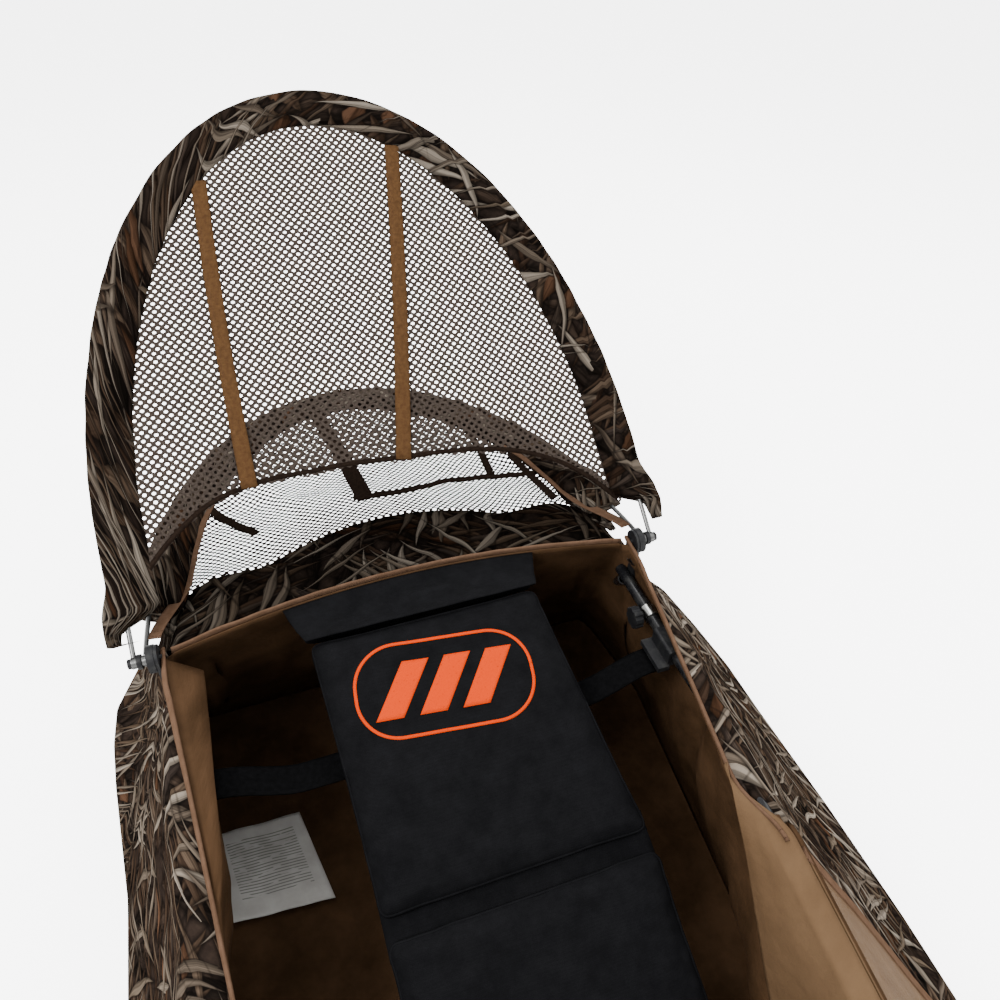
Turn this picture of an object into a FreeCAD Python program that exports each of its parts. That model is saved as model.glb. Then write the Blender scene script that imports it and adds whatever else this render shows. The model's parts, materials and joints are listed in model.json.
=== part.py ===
import FreeCAD, Part
import Sketcher
import math
import os

# Layout field blind: a low fabric tub on a tube frame, two flared doors, a padded back rest
# and a net hood on two spring-steel bows that swing about one pivot line.
# Frame: +Z up, +Y towards the head end, X across; origin on the ground under the middle.

V = FreeCAD.Vector
doc = FreeCAD.newDocument("layout_blind")

# ------------------------------------------------------------------ driving dimensions (mm)
DIMENSIONS = [
    # pivot line, its pins and ears
    ("hinge_y", 456.0), ("hinge_z", 379), ("hinge_half", 300), ("pin_r", 3), ("pin_play", 0.05),
    ("eye_r", 7), ("eye_width", 6), ("ear_x", 308.3), ("ear_thick", 4), ("ear_half", 16),
    ("boss_r", 17), ("boss_long", 8.3), ("hub_clear_r", 32),
    # hood
    ("rod_r", 3), ("front_bow_x", 336), ("rear_bow_x", 324), ("front_leg", 150), ("front_rise", 564),
    ("rear_leg", 20), ("rear_rise", 637), ("front_angle", 37.5), ("rear_angle", -10),
    ("sleeve_width", 55), ("sleeve_thick", 15), ("sleeve_lap", 16), ("front_sleeve_start", 72),
    ("rear_sleeve_start", 92), ("rear_sleeve_r", 21), ("channel_r", 3.6), ("net_thick", 1.6),
    ("hem_rise", 172), ("hem_droop", 12), ("hem_shoulder", 55), ("screen_strap_w", 20), ("brush_w", 22),
    # frame
    ("tube_r", 8), ("tube_wall", 1.5), ("base_r", 9.5), ("rail_z", 324), ("rail_bend_back", 272),
    ("rail_bend_r", 160), ("foot_back", 1380), ("foot_rail_half", 242), ("foot_rail_z", 205),
    ("band_wall", 2.5), ("band_long", 18),
    # fabric tub and doors
    ("fabric", 3), ("edge_z", 386), ("collar_drop", 66), ("collar_reach", 124),
    ("collar_rise", 38), ("cover_crown", 26), ("cover_back", 1245),
    ("door_width", 300), ("door_foot_width", 228), ("door_offset", 16), ("door_start", 419),
    ("door_full", 648), ("door_end", 1225), ("door_rest", -50), ("door_rim", 7), ("tape_thick", 1.6),
    # pads, sling, clamps and tabs
    ("pad_half", 165), ("pad_shift", 30), ("fold_half", 154), ("fold_shift", 7), ("pad_thick", 38),
    ("headrest_thick", 26), ("fold_back", 20), ("fold_z", 372), ("crease_back", 338), ("crease_z", 252),
    ("seat_back", 770), ("seat_end", 1120), ("seat_z", 48), ("mark_back", 114), ("mark_turn", -6),
    ("strap_back", 140), ("strap_w", 38), ("strap_thick", 2.5), ("clamp_back", 84), ("knob_r", 15),
    ("knob_thick", 11), ("tab_x", 312), ("tab_head_back", -352), ("tab_foot_back", 1520),
    ("stake_r", 5), ("gap", 0.3),
]
sheet = doc.addObject("Spreadsheet::Sheet", "Dims")
for row, (alias, value) in enumerate(DIMENSIONS, start=1):
    sheet.set("A%d" % row, alias)
    sheet.set("B%d" % row, str(value))
    sheet.setAlias("B%d" % row, alias)
doc.recompute()


def dim(alias):
    return float(sheet.get(alias))


HINGE = V(0, dim("hinge_y"), dim("hinge_z"))
nodes = []


def at(x, back, z):
    """A point from its distance across, its distance towards the foot and its height."""
    return V(x, dim("hinge_y") - back, z)


def keep(obj, label):
    """Names a finished sub-part and puts it on the export list."""
    obj.Label = label
    nodes.append(obj)
    return obj


def feature(label, shape, placement=None):
    """A sub-part whose shape comes from Part's own functions."""
    obj = doc.addObject("Part::Feature", label)
    obj.Shape = shape
    if placement:
        obj.Placement = placement
    return keep(obj, label)


# ------------------------------------------------------------------ shape helpers
def polyline(points):
    return Part.Wire([Part.LineSegment(a, b).toShape() for a, b in zip(points, points[1:])])


def rounded_path(points, radius):
    """Straight runs joined by tangent arcs."""
    edges = []
    start = points[0]
    for before, corner, after in zip(points, points[1:], points[2:]):
        to_before = (before - corner).normalize()
        to_after = (after - corner).normalize()
        half_turn = (math.pi - to_before.getAngle(to_after)) / 2
        setback = radius * math.tan(half_turn)
        enter = corner + to_before * setback
        leave = corner + to_after * setback
        inward = (to_before + to_after).normalize()
        middle = corner + inward * (radius / math.cos(half_turn) - radius)
        edges.append(Part.LineSegment(start, enter).toShape())
        edges.append(Part.Arc(enter, middle, leave).toShape())
        start = leave
    edges.append(Part.LineSegment(start, points[-1]).toShape())
    return Part.Wire(edges)


def sweep_disc(path, radius):
    """A solid round bar along a path."""
    first = path.Edges[0]
    tangent = first.tangentAt(first.FirstParameter)
    ring = Part.Wire(Part.makeCircle(radius, first.valueAt(first.FirstParameter), tangent))
    return path.makePipeShell([ring], True, False)


def hollow_tube(path, radius, wall):
    return sweep_disc(path, radius).cut(sweep_disc(path, radius - wall))


def straight_tube(start, end, radius, wall):
    axis = end - start
    outer = Part.makeCylinder(radius, axis.Length, start, axis)
    return outer.cut(Part.makeCylinder(radius - wall, axis.Length, start, axis))


def bar(width, depth, height, corner):
    return Part.makeBox(width, depth, height, corner)


def cloth(rows, thickness):
    """A closed thin solid from a grid of points: one skin on the grid, one pushed inwards."""
    front = [list(row) for row in rows]
    back = [[point + push for point, push in zip(row, pushes)]
            for row, pushes in zip(front, thickness)]
    faces = []

    def quad(a, b, c, d):
        for triangle in ((a, b, c), (a, c, d)):
            faces.append(Part.Face(polyline(list(triangle) + [triangle[0]])))

    last_row = len(front) - 1
    last_col = len(front[0]) - 1
    for i in range(last_row):
        for j in range(last_col):
            quad(front[i][j], front[i][j + 1], front[i + 1][j + 1], front[i + 1][j])
            quad(back[i][j], back[i + 1][j], back[i + 1][j + 1], back[i][j + 1])
    for j in range(last_col):
        quad(front[0][j], back[0][j], back[0][j + 1], front[0][j + 1])
        quad(front[last_row][j], front[last_row][j + 1], back[last_row][j + 1], back[last_row][j])
    for i in range(last_row):
        quad(front[i][0], front[i + 1][0], back[i + 1][0], back[i][0])
        quad(front[i][last_col], back[i][last_col], back[i + 1][last_col], front[i + 1][last_col])
    solid = Part.makeSolid(Part.makeShell(faces))
    if solid.Volume < 0:
        solid.reverse()
    return solid


def even_push(rows, push):
    return [[push for _ in row] for row in rows]


def mirror(shape):
    return shape.mirror(V(0, 0, 0), V(1, 0, 0))


# ------------------------------------------------------------------ the tub's outline
# Half width of the skirt on the ground, at each distance from the pivot line to the foot.
SKIRT = [(-330, 430), (-250, 468), (-100, 482), (100, 492), (285, 505), (450, 518), (625, 525),
         (800, 505), (1000, 455), (1225, 395), (1420, 325), (1580, 270)]


def along(table, back):
    """Straight-line lookup in a list of (distance, value) pairs."""
    for (b0, v0), (b1, v1) in zip(table, table[1:]):
        if b0 <= back <= b1:
            return v0 + (v1 - v0) * (back - b0) / (b1 - b0)
    raise ValueError("distance %s is off the tub" % back)


def skirt(back):
    return along(SKIRT, back)


def rail_point(back):
    """Centre of the right side rail at a distance towards the foot."""
    half = dim("hinge_half")
    bend = dim("rail_bend_back")
    if back <= bend:
        return at(half, back, dim("rail_z"))
    share = (back - bend) / (dim("foot_back") - bend)
    x = half + (dim("foot_rail_half") - half) * share
    z = dim("rail_z") + (dim("foot_rail_z") - dim("rail_z")) * share
    return at(x, back, z)


def seam_point(top, ground, back):
    """A point on the straight corner seam between two end points."""
    share = (HINGE.y - back - top.y) / (ground.y - top.y)
    return top + (ground - top) * share


def floor_edge(back):
    return at(skirt(back), back, dim("fabric") + dim("gap"))


def head_corner():
    """Upper and lower end of the seam between a side wall and the head wall."""
    return at(dim("hinge_half"), -8, dim("edge_z")), floor_edge(SKIRT[0][0])


def foot_corner():
    """Upper and lower end of the seam between a side wall and the foot wall."""
    rail = rail_point(dim("foot_back"))
    return at(rail.x + 4, 1400, rail.z + 7), floor_edge(1572)


def wall_top(back):
    """Upper edge of the side wall: down both corner seams, above the rail at the head, on it by the door."""
    head_top, head_ground = head_corner()
    foot_top, foot_ground = foot_corner()
    if HINGE.y - back > head_top.y:
        return seam_point(head_top, head_ground, back)
    if HINGE.y - back < foot_top.y:
        return seam_point(foot_top, foot_ground, back)
    if back < dim("rail_bend_back"):
        share = max(back, 0) / dim("rail_bend_back")
        return at(dim("hinge_half") + 6 + 5 * share, back, dim("edge_z") - 50 * share)
    rail = rail_point(back)
    return rail + V(dim("tube_r") + dim("fabric") + 1.2, 0, -1)


# ------------------------------------------------------------------ frame
def base_rails():
    start = at(400, -235, dim("fabric") + dim("base_r") + dim("gap"))
    end = at(258, 1400, dim("fabric") + dim("base_r") + dim("gap"))
    tube = straight_tube(start, end, dim("base_r"), dim("tube_wall"))
    feature("base_rail_right", tube)
    feature("base_rail_left", mirror(tube))


def cross_tube(label, back, length):
    """A ground cross tube with its ends butting on the base rails."""
    outer = doc.addObject("Part::Cylinder", label + "_outer")
    outer.setExpression("Radius", "Dims.tube_r")
    inner = doc.addObject("Part::Cylinder", label + "_bore")
    inner.setExpression("Radius", "Dims.tube_r - Dims.tube_wall")
    for cylinder in (outer, inner):
        cylinder.Height = length
    tube = doc.addObject("Part::Cut", label)
    tube.Base = outer
    tube.Tool = inner
    tube.Placement = FreeCAD.Placement(at(-length / 2, back, 0), FreeCAD.Rotation(V(0, 1, 0), 90))
    tube.setExpression("Placement.Base.z", "Dims.fabric + Dims.base_r + Dims.gap")
    keep(tube, label)


def side_rails():
    points = [rail_point(-6), rail_point(dim("rail_bend_back")), rail_point(dim("foot_back"))]
    tube = hollow_tube(rounded_path(points, dim("rail_bend_r")), dim("tube_r"), dim("tube_wall"))
    feature("side_rail_right", tube)
    feature("side_rail_left", mirror(tube))


def head_uprights():
    foot = at(394, -222, 2 * dim("base_r") + dim("fabric") + 7)
    head = at(303, 2, dim("rail_z") - dim("tube_r") - 7)
    tube = straight_tube(foot, head, dim("tube_r"), dim("tube_wall"))
    feature("head_upright_right", tube)
    feature("head_upright_left", mirror(tube))


def foot_frame():
    rail_end = rail_point(dim("foot_back"))
    half = rail_end.x - dim("tube_r") - 1
    bar_back = dim("foot_back") - dim("tube_r") - 1
    across = straight_tube(at(-half, bar_back, rail_end.z), at(half, bar_back, rail_end.z),
                           dim("tube_r"), dim("tube_wall"))
    feature("foot_cross_bar", across)
    leg_foot = at(259, dim("foot_back"), 2 * dim("base_r") + dim("fabric") + 2)
    leg_head = at(rail_end.x, bar_back, rail_end.z - dim("tube_r") - 3)
    leg = straight_tube(leg_foot, leg_head, dim("tube_r"), dim("tube_wall"))
    feature("foot_leg_right", leg)
    feature("foot_leg_left", mirror(leg))


# ------------------------------------------------------------------ hub: bracket, boss and pin
def plane_of(body, role):
    return [f for f in body.Origin.OriginFeatures if f.Role == role][0]


def circle_pad(body, name, centre, radius_expr, length_expr, plane="YZ_Plane", offset_expr=None,
               pocket=False):
    """A round boss or hole on one of the body's origin planes, bound to the sheet."""
    sketch = body.newObject("Sketcher::SketchObject", name + "_sketch")
    sketch.AttachmentSupport = [(plane_of(body, plane), "")]
    sketch.MapMode = "FlatFace"
    if offset_expr:
        sketch.setExpression("AttachmentOffset.Base.z", offset_expr)
    index = sketch.addGeometry(Part.Circle(V(centre[0], centre[1], 0), V(0, 0, 1), 5), False)
    sketch.addConstraint(Sketcher.Constraint("Radius", index, 5))
    sketch.setExpression("Constraints[0]", radius_expr)
    doc.recompute()
    step = body.newObject("PartDesign::Pocket" if pocket else "PartDesign::Pad", name)
    step.Profile = sketch
    step.setExpression("Length", length_expr)
    if pocket:
        step.Midplane = True
    doc.recompute()
    return step


def hub_bracket(side, label):
    """A flat steel ear from the side rail up to the pivot line."""
    body = doc.addObject("PartDesign::Body", label)
    sketch = body.newObject("Sketcher::SketchObject", label + "_outline")
    sketch.AttachmentSupport = [(plane_of(body, "YZ_Plane"), "")]
    sketch.MapMode = "FlatFace"
    half = dim("ear_half")
    foot = dim("rail_z") - dim("hinge_z") - 6
    sketch.addGeometry(Part.ArcOfCircle(Part.Circle(V(0, 0, 0), V(0, 0, 1), half), 0, math.pi), False)
    sketch.addGeometry(Part.LineSegment(V(-half, 0, 0), V(-half, foot, 0)), False)
    sketch.addGeometry(Part.LineSegment(V(-half, foot, 0), V(half, foot, 0)), False)
    sketch.addGeometry(Part.LineSegment(V(half, foot, 0), V(half, 0, 0)), False)
    doc.recompute()
    pad = body.newObject("PartDesign::Pad", label + "_plate")
    pad.Profile = sketch
    pad.setExpression("Length", "Dims.ear_thick")
    doc.recompute()
    circle_pad(body, label + "_hole", (0, 0), "Dims.pin_r", "Dims.sleeve_width", pocket=True)
    low_x = dim("ear_x") if side > 0 else -dim("ear_x") - dim("ear_thick")
    body.Placement = FreeCAD.Placement(V(low_x, HINGE.y, HINGE.z), FreeCAD.Rotation())
    keep(body, label)


def hub_boss(side, label):
    """The moulded spacer between the bracket and the bows' eyes."""
    boss = doc.addObject("Part::Cylinder", label + "_disc")
    boss.setExpression("Radius", "Dims.boss_r")
    hole = doc.addObject("Part::Cylinder", label + "_hole")
    hole.setExpression("Radius", "Dims.pin_r")
    for cylinder in (boss, hole):
        cylinder.setExpression("Height", "Dims.boss_long")
    cut = doc.addObject("Part::Cut", label)
    cut.Base = boss
    cut.Tool = hole
    turn = FreeCAD.Rotation(V(0, 1, 0), 90 * side)
    inner_face = dim("ear_x") + dim("ear_thick")
    cut.Placement = FreeCAD.Placement(V(side * inner_face, HINGE.y, HINGE.z), turn)
    keep(cut, label)


def pivot_pins():
    """One pin each side: shank, outer head and the loose washer between the two eyes."""
    shank = Part.makeCylinder(dim("pin_r"), 38, V(305, HINGE.y, HINGE.z), V(1, 0, 0))
    head = Part.makeCylinder(6, 4, V(339.4, HINGE.y, HINGE.z), V(1, 0, 0))
    head = head.makeFillet(1, [edge for edge in head.Edges if edge.BoundBox.XMin > 343])
    washer = Part.makeCylinder(9, 5.2, V(327.4, HINGE.y, HINGE.z), V(1, 0, 0))
    pin = shank.fuse([head, washer])
    feature("pivot_pin_right", pin)
    feature("pivot_pin_left", mirror(pin))


# ------------------------------------------------------------------ rail clamps, knobs and sling
def rail_clamp(side, label):
    """A plated band round the side rail with a stud boss on its inner side."""
    body = doc.addObject("PartDesign::Body", label)
    circle_pad(body, label + "_band", (0, 0), "Dims.tube_r + Dims.band_wall", "Dims.band_long",
               plane="XZ_Plane")
    circle_pad(body, label + "_bore", (0, 0), "Dims.tube_r + Dims.gap", "60", plane="XZ_Plane", pocket=True)
    centre = rail_point(dim("clamp_back"))
    head_face = centre.y + dim("band_long") / 2
    body.Placement = FreeCAD.Placement(V(side * centre.x, head_face, centre.z), FreeCAD.Rotation())
    keep(body, label)


def knob_axis_point(side):
    centre = rail_point(dim("clamp_back"))
    return V(side * (centre.x - dim("tube_r") - dim("band_wall") - dim("gap")), centre.y, centre.z)


def lock_knob(side, label):
    """A round black grip knob with a scalloped rim, on a stub towards the middle."""
    stub_long = 5
    scallops = 8
    scallop_r = 4.2
    disc = Part.makeCylinder(dim("knob_r"), dim("knob_thick"), V(0, 0, stub_long), V(0, 0, 1))
    knob = disc.fuse(Part.makeCylinder(6, stub_long, V(0, 0, 0), V(0, 0, 1)))
    for index in range(scallops):
        angle = 2 * math.pi * index / scallops
        spot = V(math.cos(angle), math.sin(angle), 0) * (dim("knob_r") + 2.5) + V(0, 0, stub_long - 1)
        knob = knob.cut(Part.makeCylinder(scallop_r, dim("knob_thick") + 3, spot, V(0, 0, 1)))
    turn = FreeCAD.Rotation(V(0, 1, 0), -90 * side)
    feature(label, knob, FreeCAD.Placement(knob_axis_point(side), turn))


def sling_slider(side, label):
    """A moulded block that slides on the rail, with an ear that the webbing is sewn round."""
    centre = rail_point(dim("strap_back"))
    block = bar(26, 44, 26, V(-13, -22, -13))
    block = block.makeFillet(4, [e for e in block.Edges if abs(e.tangentAt(0).y) > 0.9])
    ear = bar(16, 50, 8, V(-27, -25, -17))
    shape = block.fuse(ear)
    shape = shape.cut(Part.makeCylinder(dim("tube_r") + dim("gap"), 80, V(0, -40, 0), V(0, 1, 0)))
    if side < 0:
        shape = mirror(shape)
    feature(label, shape, FreeCAD.Placement(V(side * centre.x, centre.y, centre.z - 0.1), FreeCAD.Rotation()))


def sling_strap():
    """Black webbing from slider to slider, slung under the back pad."""
    z_end = rail_point(dim("strap_back")).z - 19
    foot_edge = dim("strap_back") + dim("strap_w") / 2
    z_mid = pad_top_z(foot_edge) - dim("pad_thick") / math.cos(pad_slope()) - 9
    half = dim("hinge_half") - 24
    turn_x = dim("pad_half") + 12
    stations = [(-half, z_end), (-turn_x, z_mid), (0, z_mid - 2), (turn_x, z_mid), (half, z_end)]
    outline = [V(x, 0, z) for x, z in stations]
    outline += [V(x, 0, z - dim("strap_thick")) for x, z in reversed(stations)]
    face = Part.Face(polyline(outline + [outline[0]]))
    strap = face.extrude(V(0, dim("strap_w"), 0))
    feature("sling_strap", strap, FreeCAD.Placement(at(0, dim("strap_back") + dim("strap_w") / 2, 0),
                                                    FreeCAD.Rotation()))


# ------------------------------------------------------------------ padded back and seat
def pad_slope():
    return math.atan2(dim("fold_z") - dim("crease_z"), dim("crease_back") - dim("fold_back"))


def pad_top_z(back):
    share = (back - dim("fold_back")) / (dim("crease_back") - dim("fold_back"))
    return dim("fold_z") + (dim("crease_z") - dim("fold_z")) * share


def cushion(label, upper, lower, thick, ends, clear_of=None):
    """A slab between two (distance, height) points of its top face, with eased edges.

    The ends are the (centre, half width) of its upper and its lower end.
    """
    run = V(0, -(lower[0] - upper[0]), lower[1] - upper[1])
    length = run.Length
    (upper_mid, upper_half), (lower_mid, lower_half) = ends
    corners = [V(upper_mid - upper_half, 0, -thick), V(upper_mid + upper_half, 0, -thick),
               V(lower_mid + lower_half, -length, -thick), V(lower_mid - lower_half, -length, -thick)]
    slab = Part.Face(polyline(corners + [corners[0]])).extrude(V(0, 0, thick))
    slab = slab.makeFillet(thick * 0.3, slab.Edges)
    place = FreeCAD.Placement(at(0, upper[0], upper[1]), FreeCAD.Rotation(V(0, -1, 0), run))
    if clear_of:
        slab = slab.cut(clear_of.transformed(place.inverse().toMatrix()))
    feature(label, slab, place)


def padded_set():
    """Head rest, back rest, lower back rest and seat, which lie a little askew."""
    narrow = (dim("fold_shift"), dim("fold_half"))
    wide = (dim("pad_shift"), dim("pad_half"))
    half = dim("pad_half")
    fold = (dim("fold_back"), dim("fold_z"))
    crease = (dim("crease_back"), dim("crease_z"))
    seat = (dim("seat_back"), dim("seat_z") + 8)
    reach = bar(4 * half, 200, 200, V(-2 * half, -200, -100))
    reach.Placement = FreeCAD.Placement(at(0, fold[0] - 2, fold[1]),
                                        FreeCAD.Rotation(V(1, 0, 0), math.degrees(pad_slope())))
    cushion("headrest_pad", (-34, 352), (fold[0] + 3, fold[1] + 1), dim("headrest_thick"),
            (narrow, narrow), clear_of=reach)
    cushion("back_pad", fold, (crease[0] - 4, crease[1] + 1.5), dim("pad_thick"), (narrow, wide))
    cushion("lumbar_pad", (crease[0] + 3, crease[1] - 1), seat, dim("pad_thick"), (wide, wide))
    seat_start = (seat[0] + 26, dim("seat_z"))
    cushion("seat_pad", seat_start, (dim("seat_end"), dim("seat_z")), dim("pad_thick"), (wide, wide))


def pad_mark():
    """A thin printed patch on the back pad."""
    slope = pad_slope()
    long, wide = 220, 118
    plate = bar(long, wide, 0.8, V(-long / 2, -wide / 2, 0))
    plate = plate.makeFillet(wide * 0.45, [e for e in plate.Edges if abs(e.tangentAt(0).z) > 0.9])
    plate.rotate(V(0, 0, 0), V(0, 0, 1), dim("mark_turn"))
    back = dim("mark_back")
    lift = V(0, 0.4 * math.sin(slope), 0.4 * math.cos(slope))
    feature("pad_mark", plate, FreeCAD.Placement(at(dim("fold_shift"), back, pad_top_z(back)) + lift,
                                                 FreeCAD.Rotation(V(1, 0, 0), math.degrees(slope))))


# ------------------------------------------------------------------ fabric tub
def floor_panel():
    """The waterproof ground sheet, cut to the skirt's outline."""
    right = [at(half - 2, back, 0) for back, half in SKIRT]
    left = [V(-p.x, p.y, 0) for p in reversed(right)]
    outline = right + left
    feature("floor_panel", Part.Face(polyline(outline + [outline[0]])).extrude(V(0, 0, dim("fabric"))))


def side_walls():
    """Sloping side walls from the rail line and the corner seams down to the floor sheet's edge."""
    stations = [-310, -220, -100, -40, -9, 60, 160, 260, 285, 450, 625, 800, 1000, 1225, 1398, 1480, 1555]
    top = [wall_top(back) for back in stations]
    ground = [floor_edge(back) for back in stations]
    rows = [top, [(a + b) * 0.5 for a, b in zip(top, ground)], ground]
    wall = cloth(rows, even_push(rows, V(-dim("fabric"), 0, 0)))
    hub_notch = Part.makeCylinder(dim("hub_clear_r"), 200, V(250, HINGE.y, HINGE.z), V(1, 0, 0))
    wall = wall.cut(hub_notch)
    feature("side_wall_right", wall)
    feature("side_wall_left", mirror(wall))


def rear_profile(share):
    """Top edge, collar line and ground line of the head wall at a share of its half width."""
    bow = 1 - share * share
    corner_top, corner_ground = head_corner()
    corner_collar = seam_point(corner_top, corner_ground, -dim("collar_drop"))
    edge = dim("fabric") + 2
    top = V((corner_top.x - edge) * share, corner_top.y + 44 * bow, corner_top.z - 4 * bow)
    collar = V((corner_collar.x - edge) * share, corner_collar.y + dim("collar_reach") * bow,
               corner_collar.z + dim("collar_rise") * bow)
    ground = V((corner_ground.x - edge) * share, corner_ground.y + 6 * bow, corner_ground.z)
    return top, collar, ground


def head_wall():
    """Collar and sloping head wall, bowed towards the back in the middle."""
    columns = [rear_profile(i / 6) for i in range(-6, 7)]
    rows = [[column[k] for column in columns] for k in range(3)]
    wall = cloth(rows, even_push(rows, V(0, -dim("fabric"), 0)))
    feature("head_wall", wall)


def foot_wall_and_cover():
    half = dim("foot_rail_half")
    top_z = dim("foot_rail_z") + dim("tube_r") + 3
    crown = dim("cover_crown")
    near_back = dim("cover_back")
    near_z = rail_point(near_back).z + dim("tube_r") + 3
    shares = [i / 4 for i in range(-4, 5)]
    near = [at((half + 8) * s, near_back, near_z + crown * (1 - s * s)) for s in shares]
    far = [at((half - 4) * s, dim("foot_back") + 12, top_z + crown * (1 - s * s)) for s in shares]
    rows = [near, far]
    feature("foot_cover", cloth(rows, even_push(rows, V(0, 0, -2.5))))
    corner_top, corner_ground = foot_corner()
    edge = dim("fabric") + 2
    top = [V((corner_top.x - edge) * s, corner_top.y, corner_top.z + crown * (1 - s * s)) for s in shares]
    ground = [V((corner_ground.x - edge) * s, corner_ground.y, corner_ground.z) for s in shares]
    rows = [top, ground]
    feature("foot_wall", cloth(rows, even_push(rows, V(0, 3, 0))))


def rear_binding():
    """Tan tape folded over the head wall's upper edge."""
    shares = [i / 8 for i in range(-8, 9)]
    tops = [rear_profile(s)[0] for s in shares]
    rows = [[p + V(0, -6, 2) for p in tops], [p + V(0, 4, 2.5) for p in tops]]
    feature("rear_binding", cloth(rows, even_push(rows, V(0, 0, -dim("tape_thick")))))


def side_bindings():
    """Tan tape along the opening from the rear corner to the start of the door."""
    backs = [30, 90, 150, 210, 262]
    tops = [wall_top(back) for back in backs]
    rows = [[p + V(-12, 0, 2) for p in tops], [p + V(4, 0, 2.5) for p in tops]]
    tape = cloth(rows, even_push(rows, V(0, 0, -dim("tape_thick"))))
    feature("side_binding_right", tape)
    feature("side_binding_left", mirror(tape))


def care_label():
    """A plain sewn label on the floor beside the back rest."""
    label = bar(140, 145, 0.8, V(-70, -72.5, 0))
    feature("care_label", label, FreeCAD.Placement(at(-265, 102, dim("fabric") + 0.2),
                                                   FreeCAD.Rotation(V(0, 0, 1), 4)))


def stake_tabs():
    """Four webbing tabs at the skirt's edge, each with a hole for a ground stake."""
    tabs = []
    for back in (dim("tab_head_back"), dim("tab_foot_back")):
        for side in (-1, 1):
            centre = at(side * dim("tab_x"), back, dim("gap"))
            tab = bar(24, 34, 3, centre + V(-12, -17, 0))
            tabs.append(tab.cut(Part.makeCylinder(dim("stake_r"), 9, centre - V(0, 0, 3), V(0, 0, 1))))
    feature("stake_tabs", Part.makeCompound(tabs))


# ------------------------------------------------------------------ hood
def bow_path(half, leg, rise, start):
    """Leg, half ellipse and leg in the bow's own plane; x across, z away from the pivot.

    A start beyond the leg gives only the part of the arch above it.
    """
    ellipse = Part.Ellipse(V(0, 0, leg + rise), V(half, 0, leg), V(0, 0, leg)) if rise > half \
        else Part.Ellipse(V(half, 0, leg), V(0, 0, leg + rise), V(0, 0, leg))
    curve = ellipse.toShape()
    cutter = Part.makeBox(4 * half, 10, 4 * rise, V(-2 * half, -5, max(leg, start)))
    arch = Part.Wire(Part.__sortEdges__(curve.common(cutter).Edges))
    if start >= leg:
        return arch
    ends = sorted([v.Point for v in arch.Vertexes if abs(v.Point.z - leg) < 0.01], key=lambda p: p.x)
    left = Part.LineSegment(V(-half, 0, start), ends[0]).toShape()
    right = Part.LineSegment(ends[-1], V(half, 0, start)).toShape()
    return Part.Wire(Part.__sortEdges__([left] + arch.Edges + [right]))


def bow_placement(angle):
    """Turns the bow's own +Z to its resting angle above the head-end horizontal."""
    return FreeCAD.Placement(HINGE, FreeCAD.Rotation(V(1, 0, 0), angle - 90))


def bow_rod(label, half, leg, rise, angle):
    """A spring-steel rod with an eye at each end that turns on the pivot pin."""
    rod = sweep_disc(bow_path(half, leg, rise, dim("eye_r") - 1), dim("rod_r"))
    for side in (-1, 1):
        start = V(side * half - dim("eye_width") / 2, 0, 0)
        rod = rod.fuse(Part.makeCylinder(dim("eye_r"), dim("eye_width"), start, V(1, 0, 0)))
    for side in (-1, 1):
        start = V(side * half - dim("eye_width") / 2 - 1, 0, 0)
        bore = Part.makeCylinder(dim("pin_r") + dim("pin_play"), dim("eye_width") + 2, start, V(1, 0, 0))
        rod = rod.cut(bore)
    feature(label, rod, bow_placement(angle))


def inset_ring(half, leg, rise, start, inset, thick, width):
    """A flat oval-section sleeve that follows the bow, shifted towards its inside."""
    path = bow_path(half - inset, leg, rise - inset, start)
    first = path.Vertexes[0].Point
    side = -1 if first.x < 0 else 1
    oval = Part.Ellipse(V(first.x + side * width / 2, 0, start), V(first.x, thick / 2, start),
                        V(first.x, 0, start))
    return path.makePipeShell([Part.Wire(oval.toShape())], True, False)


def front_sleeve():
    half, leg, rise = dim("front_bow_x"), dim("front_leg"), dim("front_rise")
    inset = dim("sleeve_width") / 2 - dim("sleeve_lap")
    sleeve = inset_ring(half, leg, rise, dim("front_sleeve_start"), inset,
                        dim("sleeve_thick"), dim("sleeve_width"))
    channel = sweep_disc(bow_path(half, leg, rise, dim("front_sleeve_start") - 5), dim("channel_r"))
    feature("front_sleeve", sleeve.cut(channel), bow_placement(dim("front_angle")))


def rear_sleeve():
    half, leg, rise = dim("rear_bow_x"), dim("rear_leg"), dim("rear_rise")
    path = bow_path(half, leg, rise, dim("rear_sleeve_start"))
    sleeve = sweep_disc(path, dim("rear_sleeve_r")).cut(sweep_disc(path, dim("channel_r")))
    feature("rear_sleeve", sleeve, bow_placement(dim("rear_angle")))


def sleeve_inner_half():
    """Half width between the inner edges of the front sleeve's two legs."""
    return dim("front_bow_x") + dim("sleeve_lap") - dim("sleeve_width")


def hem_line():
    """The face screen's lower edge between its two shoulders, in the bow's plane."""
    shoulder_x = sleeve_inner_half() - 1 - dim("hem_shoulder")
    shoulder_z = dim("hem_rise") - dim("hem_droop")
    return [V(-shoulder_x, 0, shoulder_z), V(0, 0, dim("hem_rise")), V(shoulder_x, 0, shoulder_z)]


def face_screen():
    """The net in the front bow, open below its hem."""
    inner = sleeve_inner_half() - 1
    drop = dim("front_bow_x") - inner
    leg = dim("front_leg")
    arch = bow_path(inner, leg, dim("front_rise") - drop, dim("front_sleeve_start") + 12)
    ends = sorted([v.Point for v in arch.Vertexes if v.Point.z < leg - 1], key=lambda p: p.x)
    edges = arch.Edges + polyline([ends[0]] + hem_line() + [ends[-1]]).Edges
    face = Part.Face(Part.Wire(Part.__sortEdges__(edges)))
    screen = face.extrude(V(0, dim("net_thick"), 0))
    screen.translate(V(0, -dim("net_thick") / 2, 0))
    feature("face_screen", screen, bow_placement(dim("front_angle")))


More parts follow.
